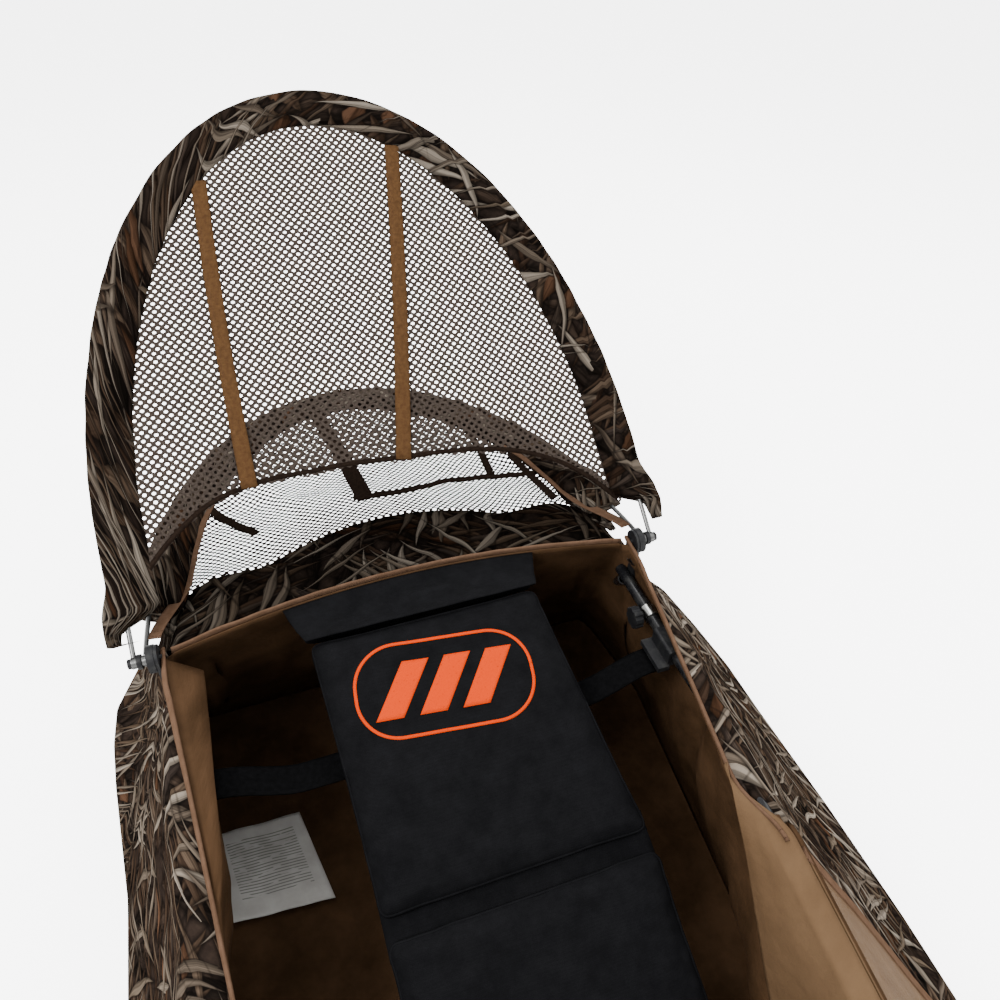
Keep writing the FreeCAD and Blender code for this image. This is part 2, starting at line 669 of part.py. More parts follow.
def screen_hem():
    """The bound lower edge of the face screen, just below the net."""
    upper = hem_line()
    drop = V(0, 0, -dim("gap"))
    lower = [p + V(0, 0, -7) for p in upper]
    outline = [p + drop for p in upper] + list(reversed(lower))
    hem = Part.Face(polyline(outline + [outline[0]])).extrude(V(0, 3, 0))
    hem.translate(V(0, -1.5, 0))
    feature("screen_hem", hem, bow_placement(dim("front_angle")))


def screen_strap(label, top_x, foot_x):
    """Brown webbing sewn down the inside of the face screen, from sleeve to hem."""
    width = dim("screen_strap_w")
    foot = dim("hem_rise") - 8
    share = (abs(top_x) + width / 2) / sleeve_inner_half()
    inner_rise = dim("front_rise") + dim("sleeve_lap") - dim("sleeve_width")
    head = dim("front_leg") + inner_rise * math.sqrt(1 - share * share) - 4
    outline = [V(foot_x - width / 2, 0, foot), V(foot_x + width / 2, 0, foot),
               V(top_x + width / 2, 0, head), V(top_x - width / 2, 0, head)]
    strap = Part.Face(polyline(outline + [outline[0]])).extrude(V(0, -1.6, 0))
    strap.translate(V(0, -9, 0))
    feature(label, strap, bow_placement(dim("front_angle")))


def rear_net():
    """The net between the rear bow and the collar of the head wall."""
    angle = math.radians(dim("rear_angle"))
    half, leg, rise = dim("rear_bow_x") - 26, dim("rear_leg"), dim("rear_rise") - 26
    rows = [[], [], []]
    for i in range(-6, 7):
        share = i / 6 * 0.93
        reach = leg + rise * math.sqrt(1 - share * share)
        outer = HINGE + V(half * share, reach * math.cos(angle), reach * math.sin(angle) - 14)
        collar = rear_profile(share)[1] + V(0, 5, 3)
        middle = (outer + collar) * 0.5 + V(0, 0, -12)
        for row, point in zip(rows, (outer, middle, collar)):
            row.append(point)
    feature("rear_net", cloth(rows, even_push(rows, V(0, 0, -dim("net_thick")))))


def brush_strap(label, x, lean):
    """A stubble strap that hangs from the rear bow towards the collar."""
    angle = math.radians(dim("rear_angle"))
    share = x / (dim("rear_bow_x") - 36)
    reach = dim("rear_leg") + (dim("rear_rise") - 36) * math.sqrt(1 - share * share)
    top = HINGE + V(x, reach * math.cos(angle), reach * math.sin(angle) + 4)
    end_reach = reach * 0.6
    foot = HINGE + V(x + lean, end_reach * math.cos(angle), end_reach * math.sin(angle) + 2)
    half = V(dim("brush_w") / 2, 0, 0)
    rows = [[top - half, top + half], [foot - half, foot + half]]
    feature(label, cloth(rows, even_push(rows, V(0, 0, -2))))


# ------------------------------------------------------------------ doors
def door_frame(side):
    """Placement of a door's own plane: x away from the rail, y towards the head, z outwards."""
    head = rail_point(dim("rail_bend_back"))
    foot = rail_point(dim("foot_back"))
    along_rail = (head - foot).normalize()
    rest = math.radians(dim("door_rest"))
    away = V(math.cos(rest), 0, math.sin(rest))
    away = (away - along_rail * away.dot(along_rail)).normalize()
    out = away.cross(along_rail)
    if side < 0:
        flip = lambda v: V(-v.x, v.y, v.z)
        return flip(head), flip(away), flip(along_rail), flip(out)
    return head, away, along_rail, out


def door_outline(inset):
    """Corners in the door's plane: a slanted head edge, a long outer edge, a square foot edge."""
    start = -(dim("door_start") - dim("rail_bend_back"))
    full = -(dim("door_full") - dim("rail_bend_back"))
    end = -(dim("door_end") - dim("rail_bend_back"))
    width = dim("door_width")
    narrow = dim("door_foot_width")
    return [(4, start - inset), (width - inset, full - inset * 0.6),
            (narrow - inset, end + inset), (4, end + inset)]


def in_door(side, u, v, w):
    origin, away, along_rail, out = door_frame(side)
    return origin + away * u + along_rail * v + out * w


def door_sheet(side, corners, low, thick):
    """A flat cloth panel from its corners, between two offsets from the rail's axis plane."""
    points = [in_door(side, u, v, low) for u, v in corners]
    out = door_frame(side)[3]
    return Part.Face(polyline(points + [points[0]])).extrude(out * thick)


def doors():
    """Each door is a panel and the tape round its three free edges."""
    low = dim("door_offset")
    rim_lift = 0.6
    for side, name in ((1, "right"), (-1, "left")):
        feature("door_panel_" + name, door_sheet(side, door_outline(13), low, dim("fabric")))
        inner = door_outline(dim("door_rim") - dim("gap"))
        cut_out = [(0, inner[0][1])] + inner[1:3] + [(0, inner[3][1])]
        rim = door_sheet(side, door_outline(0), low - rim_lift, dim("fabric") + 2 * rim_lift)
        hole = door_sheet(side, cut_out, low - 2, dim("fabric") + 4)
        feature("door_binding_" + name, rim.cut(hole))


# ------------------------------------------------------------------ build
def build():
    base_rails()
    cross_tube("head_cross_tube", -205, 2 * 384)
    cross_tube("seat_cross_tube", 700, 2 * 306)
    cross_tube("foot_cross_tube", 1340, 2 * 250)
    side_rails()
    head_uprights()
    foot_frame()
    for side, name in ((1, "right"), (-1, "left")):
        hub_bracket(side, "hub_bracket_" + name)
        hub_boss(side, "hub_boss_" + name)
        rail_clamp(side, "rail_clamp_" + name)
        lock_knob(side, "lock_knob_" + name)
        sling_slider(side, "sling_slider_" + name)
    pivot_pins()
    sling_strap()
    padded_set()
    pad_mark()
    floor_panel()
    side_walls()
    head_wall()
    foot_wall_and_cover()
    rear_binding()
    side_bindings()
    care_label()
    stake_tabs()
    bow_rod("front_bow_rod", dim("front_bow_x"), dim("front_leg"), dim("front_rise"), dim("front_angle"))
    bow_rod("rear_bow_rod", dim("rear_bow_x"), dim("rear_leg"), dim("rear_rise"), dim("rear_angle"))
    front_sleeve()
    rear_sleeve()
    face_screen()
    screen_hem()
    screen_strap("screen_strap_left", -148, -168)
    screen_strap("screen_strap_right", 121, 29)
    rear_net()
    brush_strap("brush_strap_left", -190, 40)
    brush_strap("brush_strap_middle", -50, 45)
    brush_strap("brush_strap_right", 130, 25)
    doors()


build()
doc.recompute()
for obj in doc.Objects:
    if "Invalid" in obj.State or "Error" in obj.State:
        raise RuntimeError("%s failed: %s" % (obj.Label, obj.State))
labels = [obj.Label for obj in nodes]
if len(set(labels)) != len(labels):
    raise RuntimeError("two sub-parts share a name")
for obj in nodes:
    if obj.Shape.isNull() or not obj.Shape.isValid():
        raise RuntimeError("%s has no valid shape" % obj.Label)
os.makedirs("parts", exist_ok=True)
for obj in nodes:
    obj.Shape.exportStep("parts/%s.step" % obj.Label)
whole = FreeCAD.BoundBox()
for obj in nodes:
    whole.add(obj.Shape.BoundBox)
print("%d parts" % len(nodes))
print("box X %.1f..%.1f Y %.1f..%.1f Z %.1f..%.1f"
      % (whole.XMin, whole.XMax, whole.YMin, whole.YMax, whole.ZMin, whole.ZMax))
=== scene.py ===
import bpy
import json
import math
from mathutils import Matrix, Vector, noise
from mathutils.bvhtree import BVHTree


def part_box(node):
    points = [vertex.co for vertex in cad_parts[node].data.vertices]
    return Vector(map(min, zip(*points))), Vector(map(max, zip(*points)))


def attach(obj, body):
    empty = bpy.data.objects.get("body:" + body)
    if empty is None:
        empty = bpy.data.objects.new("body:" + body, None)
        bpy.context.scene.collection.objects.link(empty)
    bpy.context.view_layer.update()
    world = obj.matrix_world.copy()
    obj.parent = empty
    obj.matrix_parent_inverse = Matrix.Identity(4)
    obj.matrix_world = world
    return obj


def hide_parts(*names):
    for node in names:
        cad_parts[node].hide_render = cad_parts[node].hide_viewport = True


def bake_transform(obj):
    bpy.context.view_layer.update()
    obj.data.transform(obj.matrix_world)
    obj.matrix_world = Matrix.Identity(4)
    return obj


# Layout field blind: the looks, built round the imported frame. Metres, +Z up, +Y to the head end.
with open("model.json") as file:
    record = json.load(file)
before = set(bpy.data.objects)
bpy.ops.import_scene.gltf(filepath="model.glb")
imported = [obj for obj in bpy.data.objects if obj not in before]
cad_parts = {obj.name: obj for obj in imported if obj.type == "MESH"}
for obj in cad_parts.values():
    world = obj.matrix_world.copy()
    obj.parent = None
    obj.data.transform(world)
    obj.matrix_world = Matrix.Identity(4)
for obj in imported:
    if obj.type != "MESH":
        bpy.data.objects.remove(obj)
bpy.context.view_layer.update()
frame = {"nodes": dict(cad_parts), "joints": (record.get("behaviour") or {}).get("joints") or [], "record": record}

# ------------------------------------------------------------------ sizes read from the frame
JOINTS = {joint["name"]: joint for joint in frame["joints"]}
HINGE = Vector(JOINTS["hood_front_swing"]["pos_m"])
TUBE_R = 0.008
ROD_R = 0.003
ACROSS = Vector((1, 0, 0))
UP = Vector((0, 0, 1))
HEADWARD = Vector((0, 1, 0))


def node_points(name):
    return [vertex.co.copy() for vertex in frame["nodes"][name].data.vertices]


def at(x, back, z):
    """A point from its distance across, its distance from the pivot line to the foot and its height."""
    return Vector((x, HINGE.y - back, z))


RAIL_LOW, RAIL_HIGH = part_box("side_rail_right")
RAIL_HALF = RAIL_HIGH.x - TUBE_R
RAIL_Z = RAIL_HIGH.z - TUBE_R
RAIL_BEND = HINGE.y - JOINTS["door_right_fold"]["pos_m"][1]
RAIL_END = HINGE.y - RAIL_LOW.y
RAIL_END_HALF = RAIL_LOW.x + TUBE_R
RAIL_END_Z = RAIL_LOW.z + TUBE_R
FLOOR_EDGE = sorted((round(HINGE.y - p.y, 4), p.x) for p in node_points("floor_panel")
                    if p.x > 0 and p.z > 0.001)
EDGE_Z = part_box("side_wall_right")[1].z


def along_table(table, key):
    key = min(max(key, table[0][0]), table[-1][0])
    for (k0, v0), (k1, v1) in zip(table, table[1:]):
        if key <= k1:
            return v0 + (v1 - v0) * (key - k0) / max(k1 - k0, 1e-9)
    return table[-1][1]


def rail(back, side=1):
    """Centre of a side rail."""
    share = max(0.0, (back - RAIL_BEND) / (RAIL_END - RAIL_BEND))
    x = RAIL_HALF + (RAIL_END_HALF - RAIL_HALF) * share
    return at(side * x, back, RAIL_Z + (RAIL_END_Z - RAIL_Z) * share)


def mix(a, b, share):
    return a + (b - a) * share


def smooth(value, low, high):
    share = min(max((value - low) / (high - low), 0.0), 1.0)
    return share * share * (3 - 2 * share)


def rough(u, v, seed=0.0):
    """Smooth noise from -1 to 1."""
    return noise.noise(Vector((u, v, seed)))


# Share of a rectangle: how near a mesh's area must come to count as the whole.
CLOSE_SHARE = 0.12


# ------------------------------------------------------------------ mesh helpers
def finish_mesh(obj):
    """Applies every modifier, so the piece keeps its final shape."""
    graph = bpy.context.evaluated_depsgraph_get()
    mesh = bpy.data.meshes.new_from_object(obj.evaluated_get(graph))
    obj.modifiers.clear()
    obj.data = mesh
    return obj


def mesh_object(name, points, faces, corners, materials):
    """A smooth-shaded piece; corners holds one (u, v) in metres for each face corner."""
    mesh = bpy.data.meshes.new(name)
    mesh.from_pydata([tuple(p) for p in points], [], faces)
    layer = mesh.uv_layers.new(name="cloth")
    for loop, corner in zip(layer.data, corners):
        loop.uv = corner
    for polygon in mesh.polygons:
        polygon.use_smooth = True
    for material in materials:
        mesh.materials.append(material)
    mesh.validate()
    obj = bpy.data.objects.new(name, mesh)
    bpy.context.scene.collection.objects.link(obj)
    return obj


def measured(rows):
    """Distances along and across a grid of points, as (u, v) for each of them."""
    table = []
    for i, row in enumerate(rows):
        line = [0.0]
        for a, b in zip(row, row[1:] + row[:1]):
            line.append(line[-1] + (b - a).length)
        middle = line[len(row) // 2]
        if i == 0:
            table.append([(u - middle, 0.0) for u in line])
        else:
            steps = [(b - a).length for a, b in zip(rows[i - 1], row)]
            steps.append(steps[0])
            before = table[-1]
            table.append([(u - middle, before[j][1] + steps[j]) for j, u in enumerate(line)])
    return table


def thicken(obj, thick, offset):
    """Gives a sheet its thickness; a second material, if there is one, goes on the inside."""
    shell = obj.modifiers.new("shell", "SOLIDIFY")
    shell.thickness = thick
    shell.offset = offset
    if len(obj.data.materials) > 1:
        shell.material_offset = 1
    return finish_mesh(obj)


def surface(down, across, place):
    """Rows of points: place(i, j) gives the point in row i of down and column j of across."""
    return [[place(i, j) for j in range(across + 1)] for i in range(down + 1)]


def grid(name, rows, materials, thick=0.0, wrap=False, caps=False, offset=-1.0, uv=None):
    """A cloth piece from rows of points, thickened if asked: materials are outside, inside."""
    wide = len(rows[0])
    table = uv or measured(rows)
    points = [p for row in rows for p in row]
    faces = []
    corners = []
    for i in range(len(rows) - 1):
        for j in range(wide if wrap else wide - 1):
            k = (j + 1) % wide
            faces.append((i * wide + j, i * wide + k, (i + 1) * wide + k, (i + 1) * wide + j))
            corners += [table[i][j], table[i][j + 1], table[i + 1][j + 1], table[i + 1][j]]
    if caps:
        last = (len(rows) - 1) * wide
        faces.append(tuple(reversed(range(wide))))
        faces.append(tuple(range(last, last + wide)))
        corners += [table[0][j] for j in reversed(range(wide))] + [table[-1][j] for j in range(wide)]
    obj = mesh_object(name, points, faces, corners, materials)
    return thicken(obj, thick, offset) if thick else obj


def sweep(name, path, section, materials, up=UP):
    """A closed section carried along a path; section(i) gives its (sideways, up) points."""
    rows = []
    for i, point in enumerate(path):
        ahead = path[min(i + 1, len(path) - 1)] - path[max(i - 1, 0)]
        side = ahead.cross(up).normalized()
        own_up = side.cross(ahead).normalized()
        rows.append([point + side * a + own_up * b for a, b in section(i)])
    return grid(name, rows, materials, wrap=True, caps=True)


def flat_section(width, thick, points=10):
    """A thin strap's section: a flat rectangle with points along both faces."""
    top = [(-width / 2 + width * k / (points - 1), thick / 2) for k in range(points)]
    return top + [(a, b - thick) for a, b in reversed(top)]


def strap_piece(name, path, width, thick, material, up, points=6):
    """A flat strap or tape along a path."""
    section = flat_section(width, thick, points)
    return sweep(name, path, lambda _: section, [material], up)


def smooth_path(points, steps):
    """An even curve through a few points (Catmull-Rom)."""
    ends = [points[0] * 2 - points[1]] + list(points) + [points[-1] * 2 - points[-2]]
    path = []
    for a, b, c, d in zip(ends, ends[1:], ends[2:], ends[3:]):
        for k in range(steps):
            t = k / steps
            path.append(0.5 * ((2 * b) + (c - a) * t + (2 * a - 5 * b + 4 * c - d) * t * t
                               + (3 * b - a - 3 * c + d) * t * t * t))
    path.append(points[-1].copy())
    return path


def flat_area(obj):
    """Half of a thin shell's surface, because its outside and inside both count."""
    return sum(polygon.area for polygon in obj.data.polygons) / 2


def join(name, pieces):
    """Several meshes made one piece."""
    bpy.ops.object.select_all(action="DESELECT")
    for piece in pieces:
        piece.select_set(True)
    bpy.context.view_layer.objects.active = pieces[0]
    bpy.ops.object.join()
    pieces[0].name = name
    return pieces[0]


def add(piece, body, slot, *nodes):
    """Rides a piece on its body and hides the nodes that it stands for; slot is not used."""
    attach(piece, body)
    if nodes:
        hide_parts(*nodes)
    return piece


def declare_cut(flat):
    """Takes a sheet's rectangle apart into width and length, and does nothing more with it."""
    width, length = flat


def declare(piece, flat):
    """Compares a sheet's mesh area with a rectangle, and hands the rectangle to declare_cut where the two are not
    close.
    """
    if abs(flat_area(piece) / (flat[0] * flat[1]) - 1) < CLOSE_SHARE:
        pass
    else:
        declare_cut(flat)


# ------------------------------------------------------------------ material helpers
class Shade:
    """One material's node tree, with short calls for the nodes used below."""

    def __init__(self, name):
        self.material = bpy.data.materials.new(name)
        self.material.use_nodes = True
        self.tree = self.material.node_tree
        self.surface = self.tree.nodes["Principled BSDF"]
        coordinates = self.node("TexCoord")
        self.uv = coordinates.outputs["UV"]
        self.local = coordinates.outputs["Object"]

    def put(self, socket, value):
        if isinstance(value, bpy.types.NodeSocket):
            self.tree.links.new(value, socket)
        else:
            socket.default_value = value

    def node(self, kind, settings=None, **inputs):
        made = self.tree.nodes.new("ShaderNode" + kind)
        for key, value in (settings or {}).items():
            setattr(made, key, value)
        for key, value in inputs.items():
            self.put(made.inputs[key.replace("_", " ")], value)
        return made

    def numbered(self, kind, settings, *values):
        """A node whose sockets are filled in order."""
        made = self.node(kind, settings)
        for socket, value in zip(made.inputs, values):
            self.put(socket, value)
        return made

    def math(self, operation, a, b=0.0):
        return self.numbered("Math", {"operation": operation}, a, b).outputs[0]

    def vector(self, operation, *values):
        return self.numbered("VectorMath", {"operation": operation}, *values).outputs[0]

    def span(self, value, low, high, to_low=0.0, to_high=1.0):
        return self.numbered("MapRange", None, value, low, high, to_low, to_high).outputs[0]

    def away(self, value, centre):
        """How far a value lies from a centre."""
        return self.math("ABSOLUTE", self.math("SUBTRACT", value, centre))

    def wave(self, value):
        """A sine that repeats at every whole number."""
        return self.math("SINE", self.math("MULTIPLY", value, 2 * math.pi))

    def split(self, vector):
        """The first two parts of a vector."""
        parts = self.node("SeparateXYZ", Vector=vector)
        return parts.outputs[0], parts.outputs[1]

    def blend(self, share, a, b, kind="MIX"):
        made = self.node("Mix", {"data_type": "RGBA", "blend_type": kind})
        for number, value in ((0, share), (6, a), (7, b)):
            self.put(made.inputs[number], value)
        return made.outputs[2]

    def ramp(self, value, stops):
        made = self.node("ValToRGB")
        self.put(made.inputs[0], value)
        while len(made.color_ramp.elements) < len(stops):
            made.color_ramp.elements.new(0.5)
        for element, (place, colour) in zip(made.color_ramp.elements, stops):
            element.position = place
            element.color = (*colour, 1)
        return made.outputs[0]

    def mapped(self, vector, scale, turn=0.0, move=(0, 0, 0)):
        """Coordinates turned, then divided by a size in metres."""
        return self.node("Mapping", {"vector_type": "TEXTURE"}, Vector=vector, Location=move,
                         Rotation=(0, 0, math.radians(turn)), Scale=scale).outputs[0]

    def noise(self, vector, size, detail=2.0, rough=0.5, kind="2D"):
        return self.node("TexNoise", {"noise_dimensions": kind}, Vector=vector, Scale=1 / size,
                         Detail=detail, Roughness=rough).outputs[0]

    def mottled(self, size, dark, light, detail=4.0, rough=0.7, low=0.3, high=0.7, local=False):
        """One colour clouding into another, over the cloth or through a solid."""
        coords, kind = (self.local, "3D") if local else (self.uv, "2D")
        share = self.span(self.noise(coords, size, detail, rough, kind), low, high)
        return self.blend(share, rgba(dark), rgba(light))

    def bump(self, height, distance, strength=1.0):
        made = self.node("Bump", Height=height, Strength=strength, Distance=distance)
        self.put(self.surface.inputs["Normal"], made.outputs[0])

    def finish(self, colour, roughness, metallic=0.0, sheen=0.0, specular=0.5):
        for name, value in (("Base Color", colour), ("Roughness", roughness), ("Metallic", metallic),
                            ("Sheen Weight", sheen), ("Specular IOR Level", specular)):
            self.put(self.surface.inputs[name], value)
        return self.material


MATT = 0.90


def rgba(colour):
    return (*colour, 1)


def grey(shade, value):
    return shade.ramp(value, [(0, (0, 0, 0)), (1, (1, 1, 1))])


# Reed print: each layer is a field of pointed blades, laid over the ones before.
DARK = [(0.0, (0.003, 0.0025, 0.002)), (0.5, (0.010, 0.007, 0.0055)), (1.0, (0.022, 0.015, 0.011))]
BROWN = [(0.0, (0.013, 0.0075, 0.005)), (0.4, (0.028, 0.018, 0.012)), (0.75, (0.046, 0.032, 0.022)),
         (1.0, (0.016, 0.012, 0.010))]
STRAW = [(0.0, (0.030, 0.022, 0.016)), (0.35, (0.072, 0.057, 0.043)), (0.7, (0.125, 0.105, 0.084)),
         (1.0, (0.046, 0.033, 0.022))]
BARK = [(0.0, (0.022, 0.011, 0.006)), (1.0, (0.042, 0.022, 0.013))]
BLADES = [
    # Turn in degrees, length, width, fill of its cell, share of cells kept, colours.
    (62, 0.060, 0.020, 0.50, 0.95, DARK),
    (-48, 0.085, 0.015, 0.46, 0.85, BROWN),
    (8, 0.120, 0.012, 0.42, 0.60, BROWN),
    (-20, 0.060, 0.030, 0.36, 0.22, BARK),
    (74, 0.130, 0.014, 0.40, 0.34, STRAW),
    (38, 0.110, 0.018, 0.40, 0.26, STRAW),
    (-66, 0.150, 0.011, 0.36, 0.26, STRAW),
    (22, 0.180, 0.008, 0.34, 0.22, STRAW),
]


def blade_layer(shade, coords, under, blade, number):
    """One field of reed blades laid over the colour below it, with a soft shadow round each."""
    turn, length, width, fill, kept, colours = blade
    turned = shade.mapped(coords, (length, width, 1), turn, (0.31 * number, 0.17 * number, 0))
    cells = shade.node("TexVoronoi", {"voronoi_dimensions": "2D", "distance": "MANHATTAN"},
                       Vector=turned, Scale=1.0, Randomness=1.0)
    reach = cells.outputs["Distance"]
    picks = shade.node("SeparateColor", Color=cells.outputs["Color"])
    cross = shade.split(shade.vector("SUBTRACT", turned, cells.outputs["Position"]))[1]
    chosen = shade.math("LESS_THAN", picks.outputs[0], kept)
    inside = shade.math("MULTIPLY", shade.span(reach, fill + 0.03, fill - 0.02), chosen)
    shadow = shade.math("MULTIPLY", shade.span(reach, fill + 0.28, fill, 0, 0.75), chosen)
    halves = shade.span(cross, -0.06, 0.06, 0.62, 1.15)
    grain = shade.noise(shade.mapped(turned, (0.9, 0.10, 1)), 1.0, 3.0)
    light = shade.math("MULTIPLY", halves, shade.span(grain, 0.32, 0.68, 0.55, 1.3))
    light = shade.math("MULTIPLY", light, shade.span(reach, fill * 0.5, fill, 1.0, 0.6))
    colour = shade.blend(1.0, shade.ramp(picks.outputs[1], colours), grey(shade, light), "MULTIPLY")
    shaded = shade.blend(shadow, under, rgba((0.002, 0.0016, 0.0014)))
    return shade.blend(inside, shaded, colour)


def reed_colour(shade, blades, scale=1.0):
    """The whole print: mottled ground and every field of blades, slightly bent."""
    coords = shade.mapped(shade.uv, (scale, scale, 1))
    bend = shade.node("TexNoise", {"noise_dimensions": "2D"}, Vector=coords, Scale=9.0, Detail=1.0)
    centred = shade.vector("SUBTRACT", bend.outputs["Color"], (0.5, 0.5, 0.5))
    bent = shade.vector("MULTIPLY_ADD", centred, (0.035, 0.035, 0.0), coords)
    colour = shade.ramp(shade.noise(bent, 0.018, 4.0, 0.65), DARK)
    for number, blade in enumerate(blades):
        colour = blade_layer(shade, bent, colour, blade, number)
    return colour


def weave(shade, size):
    """Height of a plain woven cloth: crossing threads at the given pitch."""
    across, along = shade.split(shade.mapped(shade.uv, (size, size, 1)))
    return shade.math("MULTIPLY", shade.wave(across), shade.wave(along))


def camo_material(name, darken, scale):
    """Printed cloth; darken multiplies the print's brightness as painted light and shade, and scale its size."""
    shade = Shade(name)
    colour = reed_colour(shade, BLADES, scale)
    # Random mottling times darken: brighter copies carry painted light, darker ones painted shade.
    mottle_and_painted_light = shade.span(shade.noise(shade.uv, 0.09, 3.0), 0.3, 0.7, 0.82 * darken, 1.12 * darken)
    colour = shade.blend(1.0, colour, grey(shade, mottle_and_painted_light), "MULTIPLY")
    shade.bump(weave(shade, 0.0011), 0.0002, 0.5)
    return shade.finish(colour, MATT, specular=0.0)


def lining_material(name, light, dark, show=0.3):
    """Tan coated cloth: soft mottling, the print showing faintly through, fine weave."""
    shade = Shade(name)
    base = shade.mottled(0.07, dark, light, rough=0.6)
    # The print showing through is painted light: the outer print as light shining through the cloth would show it.
    print_through = reed_colour(shade, BLADES[1:3] + BLADES[4:6])
    colour = shade.blend(show, base, shade.blend(1.0, base, print_through, "OVERLAY"))
    creases = shade.math("MULTIPLY", shade.noise(shade.uv, 0.018, 5.0, 0.62), 1.2)
    threads = shade.math("MULTIPLY", weave(shade, 0.0009), 0.05)
    shade.bump(shade.math("ADD", creases, threads), 0.0016, 0.7)
    return shade.finish(colour, 0.78, specular=0.02)


def stitched(shade, colour, thread, lines):
    """Rows of stitches along u at the given distances across; returns colour and height."""
    pitch, width, dash = 0.0042, 0.0011, 0.66
    along, across = shade.split(shade.uv)
    on_dash = shade.math("LESS_THAN", shade.math("FRACT", shade.math("DIVIDE", along, pitch)), dash)
    total = None
    for line in lines:
        row = shade.math("MULTIPLY", shade.span(shade.away(across, line), width / 2, width / 4), on_dash)
        total = row if total is None else shade.math("MAXIMUM", total, row)
    return shade.blend(total, colour, rgba(thread)), total


def tape_material(name, light, dark, thread, lines):
    """Woven tape: fine cross ribs, a little fading and rows of stitching."""
    shade = Shade(name)
    base = shade.mottled(0.012, dark, light)
    rib = shade.wave(shade.split(shade.mapped(shade.uv, (0.0008, 0.0016, 1)))[0])
    colour, rows = stitched(shade, base, thread, lines)
    shade.bump(shade.math("ADD", shade.math("MULTIPLY", rib, 0.25), rows), 0.0004, 0.8)
    return shade.finish(colour, MATT, specular=0.0)


def webbing_material(name, light, dark):
    """Coarse webbing with slanted ribs, and painted shade in the grooves between the threads."""
    shade = Shade(name)
    pitch, slant = 0.0012, 32
    rib = shade.wave(shade.split(shade.mapped(shade.uv, (pitch, pitch, 1), slant))[0])
    colour = shade.mottled(0.006, dark, light)
    # The grooves between the ribs are painted darker: painted shade.
    colour = shade.blend(shade.span(rib, -1, 0.2, 0.55, 0.0), colour, rgba([c * 0.45 for c in dark]))
    shade.bump(rib, 0.0004, 0.8)
    return shade.finish(colour, MATT, specular=0.0)


def strand_material(name, light, dark):
    """Knitted net yarn."""
    shade = Shade(name)
    colour = shade.mottled(0.003, dark, light, detail=3.0)
    shade.bump(shade.noise(shade.uv, 0.0008, 2.0), 0.0002, 0.6)
    return shade.finish(colour, MATT, specular=0.0)


def pad_material(name):
    """Black woven pad cover: fine basket weave with painted shade between its threads, soft folds and lint."""
    shade = Shade(name)
    cells = shade.node("TexVoronoi", {"distance": "CHEBYCHEV"}, Vector=shade.local, Scale=640.0,
                       Randomness=0.25)
    threads = cells.outputs["Distance"]
    colour = shade.mottled(0.03, (0.0018, 0.0018, 0.0021), (0.0036, 0.0036, 0.0041), 5.0, 0.7, 0.35, 0.75,
                           local=True)
    # Darker towards the weave cells' edges, where the bump makes grooves: painted shade.
    colour = shade.blend(shade.span(threads, 0.2, 0.7, 0.0, 0.5), colour, rgba((0.0008, 0.0008, 0.0008)))
    folds = shade.math("MULTIPLY", shade.noise(shade.local, 0.05, 4.0, 0.55, "3D"), 6.0)
    shade.bump(shade.math("SUBTRACT", folds, threads), 0.0006, 0.45)
    return shade.finish(colour, 0.85, specular=0.02)


def coated_metal(name):
    """Black powder coat with orange peel and dull dusty spots."""
    shade = Shade(name)
    dust = shade.span(shade.noise(shade.local, 0.02, 5.0, 0.7, "3D"), 0.45, 0.8)
    colour = shade.blend(dust, rgba((0.003, 0.003, 0.0035)), rgba((0.012, 0.012, 0.011)))
    shade.bump(shade.noise(shade.local, 0.0025, 2.0, 0.5, "3D"), 0.0002, 0.25)
    return shade.finish(colour, shade.span(dust, 0, 1, 0.25, 0.5), specular=0.15)


def steel_material(name, colour, roughness):
    """Bare steel with drawn scratches and a darker bloom."""
    shade = Shade(name)
    drawn = shade.noise(shade.mapped(shade.local, (0.0008, 0.02, 0.02)), 1.0, 3.0, 0.6, "3D")
    tone = shade.mottled(0.03, [c * 0.6 for c in colour], colour, rough=0.6, local=True)
    shade.bump(drawn, 0.0001, 0.4)
    shine = shade.span(drawn, 0.3, 0.7, roughness * 0.7, roughness * 1.5)
    return shade.finish(tone, shine, metallic=1.0)


def plastic_material(name):
    """Black nylon with a fine spark-eroded grain."""
    shade = Shade(name)
    grain = shade.noise(shade.local, 0.0009, 3.0, 0.6, "3D")
    colour = shade.mottled(0.012, (0.003, 0.003, 0.0035), (0.014, 0.014, 0.013), 5.0, 0.7, 0.5, 0.8,
                           local=True)
    shade.bump(grain, 0.0002, 0.5)
    return shade.finish(colour, 0.55, specular=0.12)


def print_material(name):
    """Orange screen print: the weave telegraphs through and a few flecks are thin."""
    shade = Shade(name)
    colour = shade.mottled(0.004, (0.30, 0.022, 0.001), (0.17, 0.013, 0.001), low=0.62, high=0.78)
    shade.bump(weave(shade, 0.0009), 0.00015, 0.5)
    return shade.finish(colour, 0.8, specular=0.0)


def label_material(name, width, length):
    """Pale satin label with rows of plain grey bars."""
    shade = Shade(name)
    u, v = shade.split(shade.uv)
    pitch = 0.0046
    row = shade.math("FRACT", shade.math("DIVIDE", v, pitch))
    bars = shade.span(shade.away(row, 0.5), 0.22, 0.12)
    ragged = shade.noise(shade.mapped(shade.uv, (0.02, pitch, 1)), 1.0, 1.0)
    bars = shade.math("MULTIPLY", bars, shade.span(ragged, 0.36, 0.40))
    block = shade.span(shade.away(u, 0.006), width * 0.34, width * 0.335)
    high = shade.span(shade.away(v, length * 0.46), length * 0.33, length * 0.325)
    bars = shade.math("MULTIPLY", bars, shade.math("MULTIPLY", block, high))
    colour = shade.mottled(0.03, (0.26, 0.25, 0.232), (0.33, 0.32, 0.30), 3.0, 0.5)
    colour = shade.blend(shade.math("MULTIPLY", bars, 0.75), colour, rgba((0.055, 0.053, 0.05)))
    shade.bump(weave(shade, 0.0006), 0.0001, 0.4)
    return shade.finish(colour, 0.55, sheen=0.2, specular=0.35)
